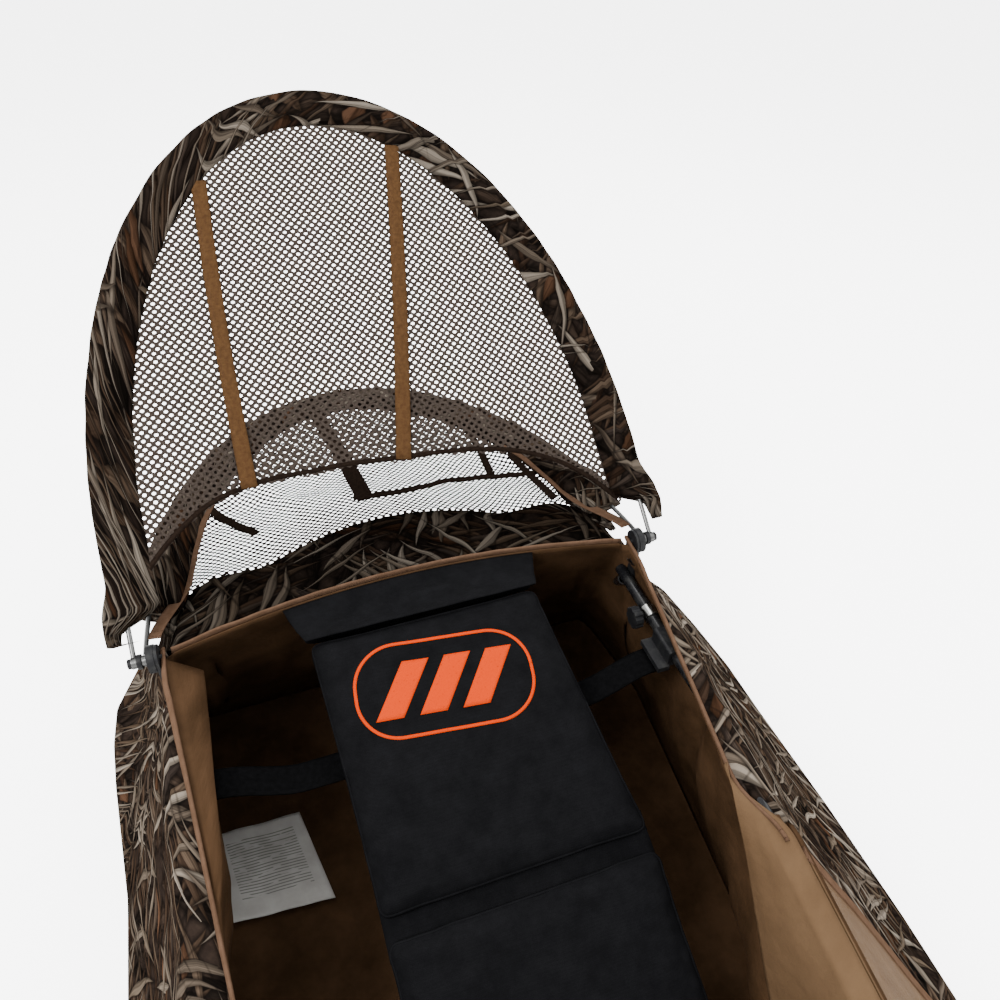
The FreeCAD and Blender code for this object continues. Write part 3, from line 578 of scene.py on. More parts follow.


# One tan coating in two brightnesses: LINING is painted darker as the shade inside the tub, FACING brighter as the
# lit cloth of the doors.
TAN_LIGHT = (0.052, 0.028, 0.014)
TAN_DARK = (0.028, 0.015, 0.007)
# One print in three brightnesses: painted light on the walls' copy, painted shade on the head shell's and gussets'
# copy, the hood's between.
CAMO = camo_material("reed_print", 1.8, 1.15)
CAMO_HOOD = camo_material("reed_print_hood", 0.62, 1.15)
CAMO_PAINTED_SHADE = camo_material("reed_print_shade", 0.30, 1.2)
LINING = lining_material("tan_coating", TAN_LIGHT, TAN_DARK)
FACING = lining_material("tan_facing", (0.070, 0.042, 0.022), (0.056, 0.033, 0.017), 0.12)
TAPE = tape_material("tan_tape", (0.060, 0.035, 0.022), (0.044, 0.025, 0.015), (0.022, 0.012, 0.008),
                     [0.0035, 0.0125])
WEB_BROWN = webbing_material("brown_web", (0.060, 0.031, 0.013), (0.036, 0.018, 0.008))
WEB_DARK = webbing_material("dark_web", (0.013, 0.0085, 0.006), (0.007, 0.0045, 0.0035))
WEB_BLACK = webbing_material("black_web", (0.0035, 0.0035, 0.0038), (0.0018, 0.0018, 0.0019))
STRAND = strand_material("net_strand", (0.028, 0.022, 0.018), (0.012, 0.009, 0.0075))
STRAND_DARK = strand_material("rear_net_strand", (0.010, 0.0075, 0.006), (0.004, 0.003, 0.0025))
PAD = pad_material("pad_cover")
TUBE_BLACK = coated_metal("powder_coat")
STEEL = steel_material("spring_steel", (0.09, 0.09, 0.088), 0.34)
PLATED = steel_material("zinc_plate", (0.26, 0.26, 0.25), 0.24)
PLASTIC = plastic_material("black_nylon")
PRINT = print_material("orange_print")

CAD_LOOKS = {
    "black_tube": TUBE_BLACK, "spring_steel": STEEL, "plated_band": PLATED, "black_plastic": PLASTIC,
}
# Every carried CAD piece gets its look; hub parts are black nylon whatever their slot says.
for row in frame["record"]["subparts"]:
    look = CAD_LOOKS.get(row["material_slot"])
    if row["node"].startswith(("hub_", "pivot_pin_")):
        look = PLASTIC
    if look:
        carried = frame["nodes"][row["node"]]
        carried.data.materials.clear()
        carried.data.materials.append(look)

# ------------------------------------------------------------------ outlines shared by the cloth
CLOTH = 0.0016
THIN_CLOTH = 0.0012
GROUND = 0.0035
SEAM_INSET = 0.005
HEAD_SEAM_TOP = at(RAIL_HALF, -0.008, EDGE_Z)
HEAD_SEAM_GROUND = at(FLOOR_EDGE[0][1] + 0.002, FLOOR_EDGE[0][0], GROUND)
FOOT_SEAM_TOP = at(rail(RAIL_END).x + 0.004, RAIL_END + 0.020, rail(RAIL_END).z + 0.007)
FOOT_SEAM_BACK = FLOOR_EDGE[-1][0] - 0.008
FOOT_SEAM_GROUND = at(along_table(FLOOR_EDGE, FOOT_SEAM_BACK), FOOT_SEAM_BACK, GROUND)
COLLAR_DROP = 0.066
HUB_NOTCH = 0.033


def seam(top, ground, back):
    return mix(top, ground, (HINGE.y - back - top.y) / (ground.y - top.y))


def wall_edge(back):
    """Upper edge of a side wall, without the hub notch."""
    y = HINGE.y - back
    if y > HEAD_SEAM_TOP.y:
        return seam(HEAD_SEAM_TOP, HEAD_SEAM_GROUND, back)
    if y < FOOT_SEAM_TOP.y:
        return seam(FOOT_SEAM_TOP, FOOT_SEAM_GROUND, back)
    if back < RAIL_BEND:
        share = max(back, 0) / RAIL_BEND
        return at(RAIL_HALF + 0.006 + 0.005 * share, back, EDGE_Z - 0.050 * share)
    return rail(back) + Vector((TUBE_R + 0.0042, 0, -0.001))


# The slack skirt lies further out on the right than on the left: extra half width along the tub.
SKIRT_SWAY = {1: [(-0.33, 0.0), (-0.20, 0.050), (0.0, 0.058), (0.28, 0.045), (0.55, 0.022), (0.80, 0.0)],
              -1: [(-0.33, 0.0), (-0.18, -0.004), (0.08, -0.040), (0.30, -0.055), (0.60, -0.035),
                   (0.95, 0.0)]}


def skirt_half(back, side):
    return along_table(FLOOR_EDGE, back) + along_table(SKIRT_SWAY[side], back)


def floor_edge(back, side):
    return at(skirt_half(back, side) + 0.002, back, GROUND)


BINDING_END = 0.38
# Where the opening's edge turns out to the door: distances from the pivot line, on the right and the left.
TURN_OUT = {1: (0.325, 0.415), -1: (0.385, 0.44)}
# Shares of the drop at which the wall and the lining bend over the rail.
KNEE = 0.08
LINING_KNEE = 0.12
FOOT_Z = 0.008
ARCH = 0.026
CUFF_TURN = 260


def binding_line(back):
    """Edge of the opening beside the head end: over the rail, drawn inwards towards the door."""
    share = min(max(back, 0.0), BINDING_END) / BINDING_END
    return at(RAIL_HALF + 0.006 - 0.035 * share, back, EDGE_Z - 0.060 * share)


def head_profile(share):
    """Top edge, collar line and ground line of the head wall at a share of its half width."""
    bow = 1 - share * share
    corner_collar = seam(HEAD_SEAM_TOP, HEAD_SEAM_GROUND, -COLLAR_DROP)
    top = Vector(((HEAD_SEAM_TOP.x - SEAM_INSET) * share, HEAD_SEAM_TOP.y + 0.044 * bow,
                  HEAD_SEAM_TOP.z - 0.004 * bow))
    collar = Vector(((corner_collar.x - SEAM_INSET) * share, corner_collar.y + 0.124 * bow,
                     corner_collar.z + 0.038 * bow))
    ear = smooth(abs(share), 0.50, 0.84) * (1 - smooth(abs(share), 0.95, 1.0))
    collar += (HEADWARD * 0.022 + UP * 0.030) * ear
    ground = Vector(((HEAD_SEAM_GROUND.x - SEAM_INSET) * share, HEAD_SEAM_GROUND.y + 0.006 * bow,
                     HEAD_SEAM_GROUND.z))
    return top, collar, ground


# ------------------------------------------------------------------ tub
def wall_point(side, back, drop):
    """A point of a side wall: drop runs from the opening's edge (0) over the rail to the ground (1)."""
    top = wall_edge(back)
    if back > -0.008:
        top = mix(binding_line(back), top, smooth(back, *TURN_OUT[side]))
    if abs(back) < HUB_NOTCH:
        top.z = min(top.z, HINGE.z - math.sqrt(HUB_NOTCH ** 2 - back * back))
    ground = floor_edge(back, side)
    hump = smooth(back, 0.03, 0.06) * (1 - smooth(back, 0.18, 0.22))
    straight = mix(top, ground, KNEE)
    over_rail = rail(back) + Vector((0.0145 + 0.003 * hump, 0, 0.006 + 0.009 * hump))
    knee = mix(straight, over_rail, smooth(back, -0.04, 0.03))
    knee = mix(knee, straight, smooth(back, RAIL_END - 0.03, RAIL_END + 0.01))
    if drop < KNEE:
        over = math.sin(math.pi * drop / KNEE) * smooth(back, 0.05, 0.20) * (back < RAIL_END)
        point = mix(top, knee, drop / KNEE) + Vector((0.0055, 0, 0.0060)) * over
    else:
        point = mix(knee, ground, (drop - KNEE) / (1 - KNEE))
    belly = math.sin(math.pi * drop)
    folds = 0.011 * rough(back * 9 + drop * 1.5, drop * 1.2, 3.0 + side)
    folds += 0.003 * rough(back * 34, drop * 5, 9.0 + side)
    point.x -= 0.012 * belly * smooth(drop, 0.08, 0.30)
    point.x += belly * smooth(drop, 0.08, 0.40) * folds * min(top.z / 0.2, 1)
    return Vector((side * point.x, point.y, point.z))


def tub_walls():
    """Sloping side walls: printed outside, coated inside, with slack folds from rail to ground."""
    first, last, columns, rows_below = -0.325, 1.566, 190, 15
    backs = [first + (last - first) * (k / columns) for k in range(columns + 1)]
    drops = [0, KNEE / 2, KNEE] + [KNEE + (1 - KNEE) * k / rows_below for k in range(1, rows_below + 1)]
    for side, name in ((1, "right"), (-1, "left")):
        rows = [[wall_point(side, back, drop) for back in backs] for drop in drops]
        if side < 0:
            rows = [list(reversed(row)) for row in rows]
        wall = grid("tub_wall_" + name, rows, [CAMO, LINING], thick=CLOTH)
        add(wall, "root", "camo_fabric", "side_wall_" + name)
        declare(wall, (0.62, 2.02))


def head_shell():
    """Collar and sloping head wall."""
    columns = 96
    profiles = [head_profile(-1 + 2 * k / columns) for k in range(columns + 1)]
    rows = []
    for part, steps, start in ((0, 8, 0), (1, 14, 1)):
        for i in range(start, steps + 1):
            share = i / steps
            row = []
            for k, profile in enumerate(profiles):
                across = -1 + 2 * k / columns
                puff = 0.010 * math.sin(math.pi * share) * (1 if part == 0 else 0.6)
                folds = 0.007 * rough(across * 7 + share, share * 1.5, 21.0 + part)
                folds += 0.003 * rough(across * 26, share * 4 + part, 25.0)
                folds *= math.sin(math.pi * min(share + 0.15, 1))
                out = (HEADWARD * 0.5 + UP * 0.5) * (1 - across ** 6)
                row.append(mix(profile[part], profile[part + 1], share) + out * (puff + folds))
            rows.append(row)
    # The head shell's outside is the print's painted-shade copy.
    wall = grid("head_shell", rows, [CAMO_PAINTED_SHADE, LINING], thick=CLOTH)
    add(wall, "root", "camo_fabric", "head_wall")
    declare(wall, (0.86, 0.52))


def tub_floor():
    """The ground sheet, with shallow creases."""
    first, last, down, across = FLOOR_EDGE[0][0], FLOOR_EDGE[-1][0], 120, 60

    def place(i, j):
        back = mix(first, last, i / down)
        share = -1 + 2 * j / across
        calm = (1 - share ** 8) * smooth(i, 0, 3) * smooth(down - i, 0, 3)
        crease = abs(rough(share * 4 + back * 3, back * 6, 41.0))
        height = calm * 0.0035 * (1 - crease) * (0.5 + 0.5 * rough(share * 12, back * 12, 43.0))
        return at(share * skirt_half(back, 1 if share > 0 else -1), back, 0.0030 + height)

    floor = grid("tub_floor", surface(down, across, place), [LINING], thick=0.0024)
    add(floor, "root", "coated_fabric", "floor_panel")
    declare(floor, (1.05, 1.91))


ROUNDING = 7


def lining_side(side):
    """Top, knee and foot of the lining's side cloth, from the foot end to the head end and its corner."""
    base_low, base_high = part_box("base_rail_right")
    base_first, base_last = HINGE.y - base_high.y, HINGE.y - base_low.y
    columns = []
    count = 110
    for k in range(count + 1):
        back = (RAIL_END - 0.02) * (1 - k / count)
        below_door = smooth(back, RAIL_BEND + 0.01, RAIL_BEND + 0.04)
        top_shift = mix(Vector((-0.004, 0, TUBE_R + 0.003)), Vector((-0.012, 0, -0.024)), below_door)
        knee_shift = mix(Vector((-TUBE_R - 0.005, 0, 0.002)), Vector((-0.015, 0, -0.034)), below_door)
        top = mix(binding_line(back) + Vector((-0.001, 0, -0.004)), rail(back) + top_shift,
                  smooth(back, BINDING_END, BINDING_END + 0.06))
        inside = rail(back) + knee_shift
        if side > 0:
            outside = rail(back) + Vector((TUBE_R + 0.0045, 0, 0.004))
            knee = mix(outside, inside, smooth(back, 0.225, 0.262))
        else:
            hidden = at(0.267, back, RAIL_Z + 0.011)
            knee = mix(hidden, inside, smooth(back, 0.24, 0.36))
        if abs(back) < HUB_NOTCH + 0.004:
            top.x = min(top.x, RAIL_HALF + 0.0045)
            top.z = min(top.z, EDGE_Z - 0.006)
        along = (back - base_first) / (base_last - base_first)
        foot_x = mix(base_high.x - 0.0095, base_low.x + 0.0095, along) - 0.013
        columns.append((top, knee, at(foot_x, back, FOOT_Z), back))
    corner = columns[-1][2]
    for k in range(1, ROUNDING):
        turn = math.pi / 2 * k / ROUNDING
        top = Vector((RAIL_HALF - 0.004, HEAD_SEAM_TOP.y - 0.004, EDGE_Z - 0.006))
        foot = Vector((corner.x - 0.03 + 0.03 * math.cos(turn), HINGE.y + 0.15 + 0.03 * math.sin(turn),
                       FOOT_Z))
        foot.y = mix(corner.y, foot.y, smooth(k, 0, ROUNDING))
        columns.append((top, mix(top, foot, LINING_KNEE), foot, -0.02 * k))
    return columns


def lining():
    """Coated inner cloth that hangs from the opening's edge: down both sides and across the head."""
    half_columns, steps = 60, 26
    head = []
    for k in range(half_columns + 1):
        share = 1 - 2 * k / half_columns
        top = head_profile(share * 0.985)[0] + Vector((0, -0.0035, -0.004))
        foot = Vector((0.335 * share, HINGE.y + 0.18 + 0.004 * (1 - share * share), FOOT_Z))
        # The left half counts as far back and the right half as not, so only the left corner is slack.
        slack_back = 2.0 if share < 0 else -1.0
        head.append((top, mix(top, foot, LINING_KNEE), foot, slack_back))
    right = lining_side(1)
    left = [tuple(Vector((-p.x, p.y, p.z)) for p in column[:3]) + (column[3],)
            for column in reversed(lining_side(-1))]
    every = right + head + left
    rows = []
    for i in range(steps + 1):
        drop = i / steps
        slack = math.sin(math.pi * smooth(drop, 0.10, 1.0)) ** 0.8
        row = []
        for number, (top, knee, foot, back) in enumerate(every):
            if drop < LINING_KNEE:
                point = mix(top, knee, drop / LINING_KNEE)
            else:
                point = mix(knee, foot, (drop - LINING_KNEE) / (1 - LINING_KNEE))
            past_head = number - len(right) - len(head)
            pull = 0.052 * smooth(back, 0.30, 0.58) * (1 - 0.5 * smooth(back, 0.9, 1.3))
            if len(right) - ROUNDING < number < len(right) + 3 or -3 < past_head < ROUNDING:
                toward = Vector((-foot.x, -0.4, 0)).normalized()
            elif abs(foot.x) > 0.3:
                toward = Vector((-foot.x, 0.0, 0.0)).normalized()
            else:
                toward, pull = -HEADWARD, 0.0
            folds = 0.015 * rough(number * 0.16, drop * 1.3, 61.0)
            folds += 0.004 * rough(number * 0.55, drop * 4.5, 67.0)
            point = point + toward * (slack * (0.010 + pull + folds))
            point.z = max(point.z, 0.0075)
            row.append(point)
        rows.append(row)
    cloth = grid("tub_lining", rows, [LINING], thick=THIN_CLOTH, offset=0.0)
    add(cloth, "root", "coated_fabric")
    declare(cloth, (0.62, 3.5))


def foot_cover():
    """Printed hood over the boots and the short sloping foot wall."""
    low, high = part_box("foot_cover")
    down, across = 14, 40

    def cover_point(i, j):
        share, s = i / down, -1 + 2 * (across - j) / across
        y = mix(high.y, low.y, share)
        z = rail(min(HINGE.y - y, RAIL_END)).z + TUBE_R + 0.003 + ARCH * (1 - s * s)
        z += 0.0025 * rough(s * 5, share * 3, 81.0) * (1 - s * s)
        return Vector((mix(high.x, high.x - 0.012, share) * s, y, z))

    def end_point(i, j):
        share, s = i / down, -1 + 2 * (across - j) / across
        top_z = FOOT_SEAM_TOP.z + ARCH * (1 - s * s)
        top = Vector(((FOOT_SEAM_TOP.x - SEAM_INSET) * s, FOOT_SEAM_TOP.y, top_z))
        ground = Vector(((FOOT_SEAM_GROUND.x - SEAM_INSET) * s, FOOT_SEAM_GROUND.y, GROUND))
        point = mix(top, ground, share)
        point.y -= 0.006 * math.sin(math.pi * share) * (1 - s ** 4) * (1 + rough(s * 5, share * 3, 83.0))
        return point

    for name, node, place, flat in (("boot_cover", "foot_cover", cover_point, (0.52, 0.17)),
                                    ("foot_end_wall", "foot_wall", end_point, (0.56, 0.28))):
        piece = grid(name, surface(down, across, place), [CAMO, LINING], thick=CLOTH)
        add(piece, "root", "camo_fabric", node)
        declare(piece, flat)


def door_facing():
    """Coated cloth inside the right rail: a fold that falls away where the edge turns out to the door."""
    stops = [(0.276, 0.318, 0.336), (0.265, 0.358, 0.320), (0.259, 0.401, 0.289), (0.250, 0.454, 0.245),
             (0.243, 0.516, 0.187), (0.240, 0.587, 0.135), (0.240, 0.700, 0.120), (0.240, 0.860, 0.115)]
    rows = []
    for low in smooth_path([Vector(stop) for stop in stops], 10):
        back = mix(low.y, 0.318 + (low.y - 0.318) * 1.25, 1 - smooth(low.y, 0.55, 0.86))
        turned_out = smooth(back, *TURN_OUT[1])
        edge = mix(binding_line(back), rail(back) + Vector((0.011, 0, 0.0155)), turned_out)
        crest = mix(edge, rail(back) + Vector((-0.014, 0, 0.0120)), turned_out)
        row = []
        for j in range(25):
            if j < 5:
                point = mix(edge, crest, j / 4)
            else:
                point = mix(crest, at(low.x, low.y, low.z), (j - 4) / 20)
            wave = math.sin(math.pi * j / 24) * (1 + rough(low.y * 12, j / 24 * 3, 201.0))
            row.append(point - ACROSS * 0.003 * wave)
        rows.append(row)
    facing = grid("door_facing", rows, [FACING], thick=THIN_CLOTH)
    add(facing, "root", "coated_fabric")
    declare(facing, (0.27, 0.58))


def folded_tape(name, path, up, inner, outer):
    """Tape folded over an edge: a long flap inside, a short one outside. Sideways is the outer side."""
    thick = 0.0011
    section = [(-0.0022, -inner), (-0.0026, -inner * 0.5), (-0.0024, -0.001), (-0.0012, 0.0012),
               (0.0, 0.0018), (0.0012, 0.0012), (0.0024, -0.001), (0.0026, -outer * 0.5), (0.0024, -outer),
               (0.0024 - thick, -outer), (0.0024 - thick, -0.001), (0, 0.0018 - thick),
               (-0.0024 + thick, -0.001), (-0.0022 + thick, -inner)]
    return sweep(name, path, lambda _: section, [TAPE], up)


def bindings():
    """Tan tape round the opening: across the head edge and down each side past the turn to the door."""
    path = []
    for k in range(81):
        s = 1 - 2 * k / 80
        ripple = Vector((0, 0.001 * rough(s * 6, 0, 91.0), 0.0015 * rough(s * 9, 0, 92.0) + 0.0008))
        path.append(head_profile(s)[0] + ripple)
    tape = folded_tape("head_tape", path, Vector((0, -0.35, 1)).normalized(), 0.019, 0.008)
    add(tape, "root", "binding_tape", "rear_binding")
    declare(tape, (0.030, 0.61))
    for side, name, last in ((1, "right", TURN_OUT[1][1]), (-1, "left", 0.60)):
        path = []
        for k in range(61):
            back = mix(-0.012, last, k / 60)
            door_corner = rail(back) + UP * (TUBE_R + 0.0075)
            edge = mix(binding_line(max(back, 0.0)), door_corner, smooth(back, *TURN_OUT[side]))
            x = mix(edge.x, RAIL_HALF + 0.0035, 1 - smooth(back, 0.020, 0.060))
            z = edge.z + 0.001 + 0.001 * rough(back * 20, side, 95.0)
            path.append(Vector((side * x, HINGE.y - back, z)))
        if side > 0:
            path = list(reversed(path))
        lean = Vector((-0.45 * side, 0, 1)).normalized()
        tape = folded_tape("side_tape_" + name, path, lean, 0.0175, 0.0075)
        add(tape, "root", "binding_tape", "side_binding_" + name)
        declare(tape, (0.030, last + 0.02))


def care_label():
    """A plain pale label on the ground sheet, with one edge curling up."""
    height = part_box("care_label")[1].z
    width, length, steps = 0.140, 0.145, 24
    upper = at(-0.348, 0.031, 0), at(-0.208, 0.035, 0)
    lower = at(-0.325, 0.166, 0), at(-0.180, 0.177, 0)

    def place(i, j):
        across, down = j / steps, (steps - i) / steps
        u, v = (across - 0.5) * width, (0.5 - down) * length
        point = mix(mix(*upper, across), mix(*lower, across), down)
        curl = 0.0035 * (1 + rough(u * 26, v * 16, 101.0)) + 0.004 * down ** 4
        return point + UP * (height + 0.0035 + curl)

    flat = [[((j / steps - 0.5) * width, (steps - i) / steps * length) for j in range(steps + 1)]
            for i in range(steps + 1)]
    label = grid("care_tag", surface(steps, steps, place), [label_material("label_cloth", width, length)],
                 thick=0.0005, uv=flat)
    add(label, "root", "label_cloth", "care_label")
    declare(label, (width, length))


def stake_tabs():
    """Black webbing tabs at the skirt, each with a plain round hole."""
    low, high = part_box("stake_tabs")
    half_wide, half_long, hole, rings, around = 0.012, 0.017, 0.0052, 6, 40
    pieces = []
    for side in (-1, 1):
        for y in (low.y + half_long, high.y - half_long):
            rows = []
            for ring in range(rings + 1):
                row = []
                for k in range(around):
                    angle = 2 * math.pi * k / around
                    c, s = math.cos(angle), math.sin(angle)
                    reach = min(half_wide / max(abs(c), 1e-6), half_long / max(abs(s), 1e-6))
                    radius = mix(hole, reach, ring / rings)
                    row.append(Vector((side * (high.x - half_wide) + radius * c, y + radius * s, 0.0032)))
                rows.append(row)
            pieces.append(grid("tab", rows, [WEB_BLACK], thick=0.0024, wrap=True))
    tabs = join("stake_loops", pieces)
    add(tabs, "root", "black_webbing", "stake_tabs")
    declare(tabs, (0.048, 0.068))


# ------------------------------------------------------------------ hood
def bow_shape(node, leg):
    """Half width, straight leg, rise and directions of a bow, read from its rod."""
    points = node_points(node)
    far = max(points, key=lambda p: (p.y - HINGE.y) ** 2 + (p.z - HINGE.z) ** 2 - 10 * p.x * p.x)
    reach = math.hypot(far.y - HINGE.y, far.z - HINGE.z) - ROD_R
    angle = math.atan2(far.z - HINGE.z, far.y - HINGE.y)
    return {"half": max(p.x for p in points) - ROD_R, "leg": leg, "rise": reach - leg,
            "away": Vector((0, math.cos(angle), math.sin(angle))),
            "over": Vector((0, -math.sin(angle), math.cos(angle)))}


BOW_STEP = 0.006
FRONT = bow_shape("front_bow_rod", 0.150)
REAR = bow_shape("rear_bow_rod", 0.020)


def in_bow(bow, x, reach, lift=0.0):
    """A point in a bow's plane: across, away from the pivot line, and above the plane."""
    return HINGE + ACROSS * x + bow["away"] * reach + bow["over"] * lift


def bow_line(bow, start, inset):
    """(x, reach) points from one leg over the arch to the other, evenly spaced."""
    half, leg, rise = bow["half"] - inset, bow["leg"], bow["rise"] - inset
    fine = []
    if leg > start:
        fine += [(half, start + (leg - start) * k / 40) for k in range(41)]
    for k in range(721):
        turn = math.pi * k / 720
        x, reach = half * math.cos(turn), leg + rise * math.sin(turn)
        if reach >= start:
            fine.append((x, reach))
    if leg > start:
        fine += [(-half, leg + (start - leg) * k / 40) for k in range(41)]
    even = [fine[0]]
    for point in fine[1:]:
        if math.dist(point, even[-1]) >= BOW_STEP:
            even.append(point)
    even.append(fine[-1])
    return even


def sleeve(name, bow, start, inset, width, thick, lobes, seed, ear=0.0):
    """A cloth sleeve round a bow: a wide soft oval with puckers, gathered and bulging at its ends.

    With an ear, only its outer side runs on past each end, clear of the pin's head.
    """
    path = [in_bow(bow, x, reach) for x, reach in bow_line(bow, start, inset)]
    total = BOW_STEP * len(path)
    sides = 32

    def section(i):
        along = BOW_STEP * i
        from_end = min(along, total - along)
        gather = 1 - 0.16 * (1 - smooth(from_end, 0.0, 0.05))
        swell = 1 + 0.9 * math.exp(-((from_end - 0.045) / 0.03) ** 2)
        if from_end < 0.012:
            swell *= 0.4 + 0.6 * from_end / 0.012
        points = []
        for k in range(sides):
            turn = 2 * math.pi * k / sides
            a, b = math.cos(turn), math.sin(turn)
            sign = 1 if b >= 0 else -1
            pucker = rough(along * 26 + a * 0.7, a * 1.1 + (2 if b > 0 else 0), seed)
            fine = rough(along * 85, a * 2.5 + (3 if b > 0 else 0), seed + 3)
            long_fold = rough(along * 7, a * 3.2, seed + 7)
            high = thick / 2 * swell * abs(b) ** lobes * sign
            if ear:
                high *= 1 + 0.9 * math.exp(-((from_end - 0.03) / 0.03) ** 2) * (0.4 + 0.6 * (a > 0.3))
            high += (0.0023 * pucker + 0.0009 * fine + 0.0022 * long_fold) * abs(b) ** 0.5 * sign
            wide = width / 2 * gather * a
            if ear:
                inner = mix(EAR_INNER, -width / 2, smooth(from_end, ear * 0.55, ear * 1.25))
                outer = mix(EAR_OUTER, width / 2, smooth(from_end, ear, ear * 2.2))
                wide = mix(inner, outer, (a + 1) / 2)
            points.append((wide + 0.0016 * rough(along * 30, a, seed + 11), high))
        return points

    return sweep(name, path, section, [CAMO_HOOD], bow["over"])


def hem_reach(x):
    """The face screen's lower edge: a little higher on the left, dropping to both sleeve ends."""
    return 0.182 - 0.06 * x - 0.095 * (abs(x) / 0.3) ** 4


def hex_net(name, accepts, place, hole, material):
    """A knitted mesh: six-sided strands round every cell that accepts(x, y) takes."""
    shape = [(-0.5, -0.28), (0.0, -0.62), (0.5, -0.28), (0.5, 0.28), (0.0, 0.62), (-0.5, 0.28)]
    points = []
    known = {}
    faces = []
    flat = []

    def vertex(x, y, shared):
        key = (round(x * 5e4), round(y * 5e4))
        if shared and key in known:
            return known[key]
        points.append(place(x, y))
        flat.append((x, y))
        if shared:
            known[key] = len(points) - 1
        return len(points) - 1

    for row in range(int(0.75 / NET_ROW)):
        for column in range(int(0.72 / NET_PITCH)):
            x = -0.36 + NET_PITCH * (column + 0.5 * (row % 2))
            y = NET_ROW * row
            if not accepts(x, y):
                continue
            rings = []
            for size, shared in ((1, True), (hole + 0.05 * rough(x * 300, y * 300, 5.0), False)):
                rings.append([vertex(x + NET_PITCH * a * size, y + NET_ROW * 1.615 * b * size, shared)
                              for a, b in shape])
            outer, inner = rings
            for k in range(6):
                n = (k + 1) % 6
                faces.append((outer[k], outer[n], inner[n], inner[k]))
    corners = [flat[v] for face in faces for v in face]
    return thicken(mesh_object(name, points, faces, corners, [material]), NET_THICK, 0.0)


NET_PITCH = 0.0108
NET_ROW = 0.0056
NET_THICK = 0.0007
SLEEVE_WIDTH = 0.055
SLEEVE_LAP = 0.016
EAR_INNER = 0.0215
EAR_OUTER = 0.037
INNER_HALF = FRONT["half"] + SLEEVE_LAP - SLEEVE_WIDTH


def face_screen():
    """Net in the front bow, its bound hem and the two long straps."""
    half = INNER_HALF + 0.012
    rise = FRONT["rise"] - (FRONT["half"] - INNER_HALF) + 0.012

    def accepts(x, reach):
        if reach < hem_reach(x) - 0.002 or abs(x) > half:
            return False
        return reach < FRONT["leg"] or (x / half) ** 2 + ((reach - FRONT["leg"]) / rise) ** 2 < 1

    def place(x, reach, above=0.0):
        belly = 1 - min(1, (x / half) ** 2 + ((reach - 0.40) / 0.26) ** 2)
        near_hem = 1 - smooth(reach - hem_reach(x), 0.0, 0.10)
        lift = (-0.007 * max(belly, 0) + 0.006 * near_hem * rough(x * 16, reach * 6, 111.0)
                + 0.0022 * rough(x * 11, reach * 9, 112.0))
        return in_bow(FRONT, x, reach, lift + above)

    net = hex_net("face_net", accepts, place, 0.43, STRAND)
    add(net, "hood_front", "net", "face_screen")
    declare_cut((0.62, 0.54))
    hem_xs = [-half + 0.004 + 2 * (half - 0.004) * k / 100 for k in range(101)]
    section = [(b, a) for a, b in flat_section(0.0022, 0.006, 5)]
    hem = sweep("face_hem", [place(x, hem_reach(x)) for x in hem_xs], lambda _: section, [WEB_DARK],
                FRONT["over"])
    add(hem, "hood_front", "binding_tape", "screen_hem")
    for name, top_x, foot_x in (("left", -0.148, -0.168), ("right", 0.121, 0.029)):
        path = []
        for k in range(41):
            share = k / 40
            x = mix(foot_x, top_x, share) + 0.004 * math.sin(math.pi * share) * (1 if foot_x > 0 else -1)
            top_reach = FRONT["leg"] + (rise - 0.012) * math.sqrt(1 - (abs(top_x) / INNER_HALF) ** 2)
            reach = mix(hem_reach(foot_x) - 0.004, top_reach, share)
            path.append(place(x, reach, 0.004 + 0.001 * rough(share * 9, foot_x, 7.0)))
        strap = strap_piece("screen_web_" + name, path, 0.020, 0.0014, WEB_BROWN, FRONT["over"])
        add(strap, "hood_front", "brown_webbing", "screen_strap_" + name)
        declare(strap, (0.021, (path[0] - path[-1]).length))


def hood_sleeves():
    """The printed sleeves round both bows, and the tan tape inside the rear one."""
    front = sleeve("bow_sleeve_front", FRONT, 0.024, SLEEVE_WIDTH / 2 - SLEEVE_LAP, SLEEVE_WIDTH, 0.015,
                   0.8, 121.0, ear=0.038)
    add(front, "hood_front", "camo_fabric", "front_sleeve")
    rear = sleeve("bow_sleeve_rear", REAR, 0.092, 0.012, 0.066, 0.032, 0.85, 131.0)
    add(rear, "hood_rear", "camo_fabric", "rear_sleeve")
    inset = 0.044
    for side, name in ((1, "right"), (-1, "left")):
        path = []
        for k in range(41):
            reach = mix(0.030, 0.330, k / 40)
            rise_share = max(reach - REAR["leg"], 0) / (REAR["rise"] - inset)
            x = (REAR["half"] - inset) * math.sqrt(1 - rise_share ** 2)
            x += 0.034 * (1 - smooth(reach, 0.02, 0.14))
            path.append(in_bow(REAR, side * x, reach, 0.006 + 0.002 * rough(x * 20, reach * 20, 133.0)))
        tape = strap_piece("rear_bow_tape_" + name, path, 0.015, 0.0014, TAPE, REAR["over"])
        add(tape, "hood_rear", "binding_tape")
        declare(tape, (0.016, 0.31))


def rear_line(x):
    """Collar point and bow point of the rear net at a distance across."""
    half = REAR["half"] - 0.018
    share = max(-0.995, min(0.995, x / half))
    reach = REAR["leg"] + (REAR["rise"] - 0.018) * math.sqrt(1 - share * share)
    outer = in_bow(REAR, x, reach, 0.0)
    corner = head_profile(1.0)[1].x
    collar = head_profile(max(-0.995, min(0.995, x / corner)))[1] + Vector((0, 0.002, 0.002))
    collar.x = x
    return collar, outer


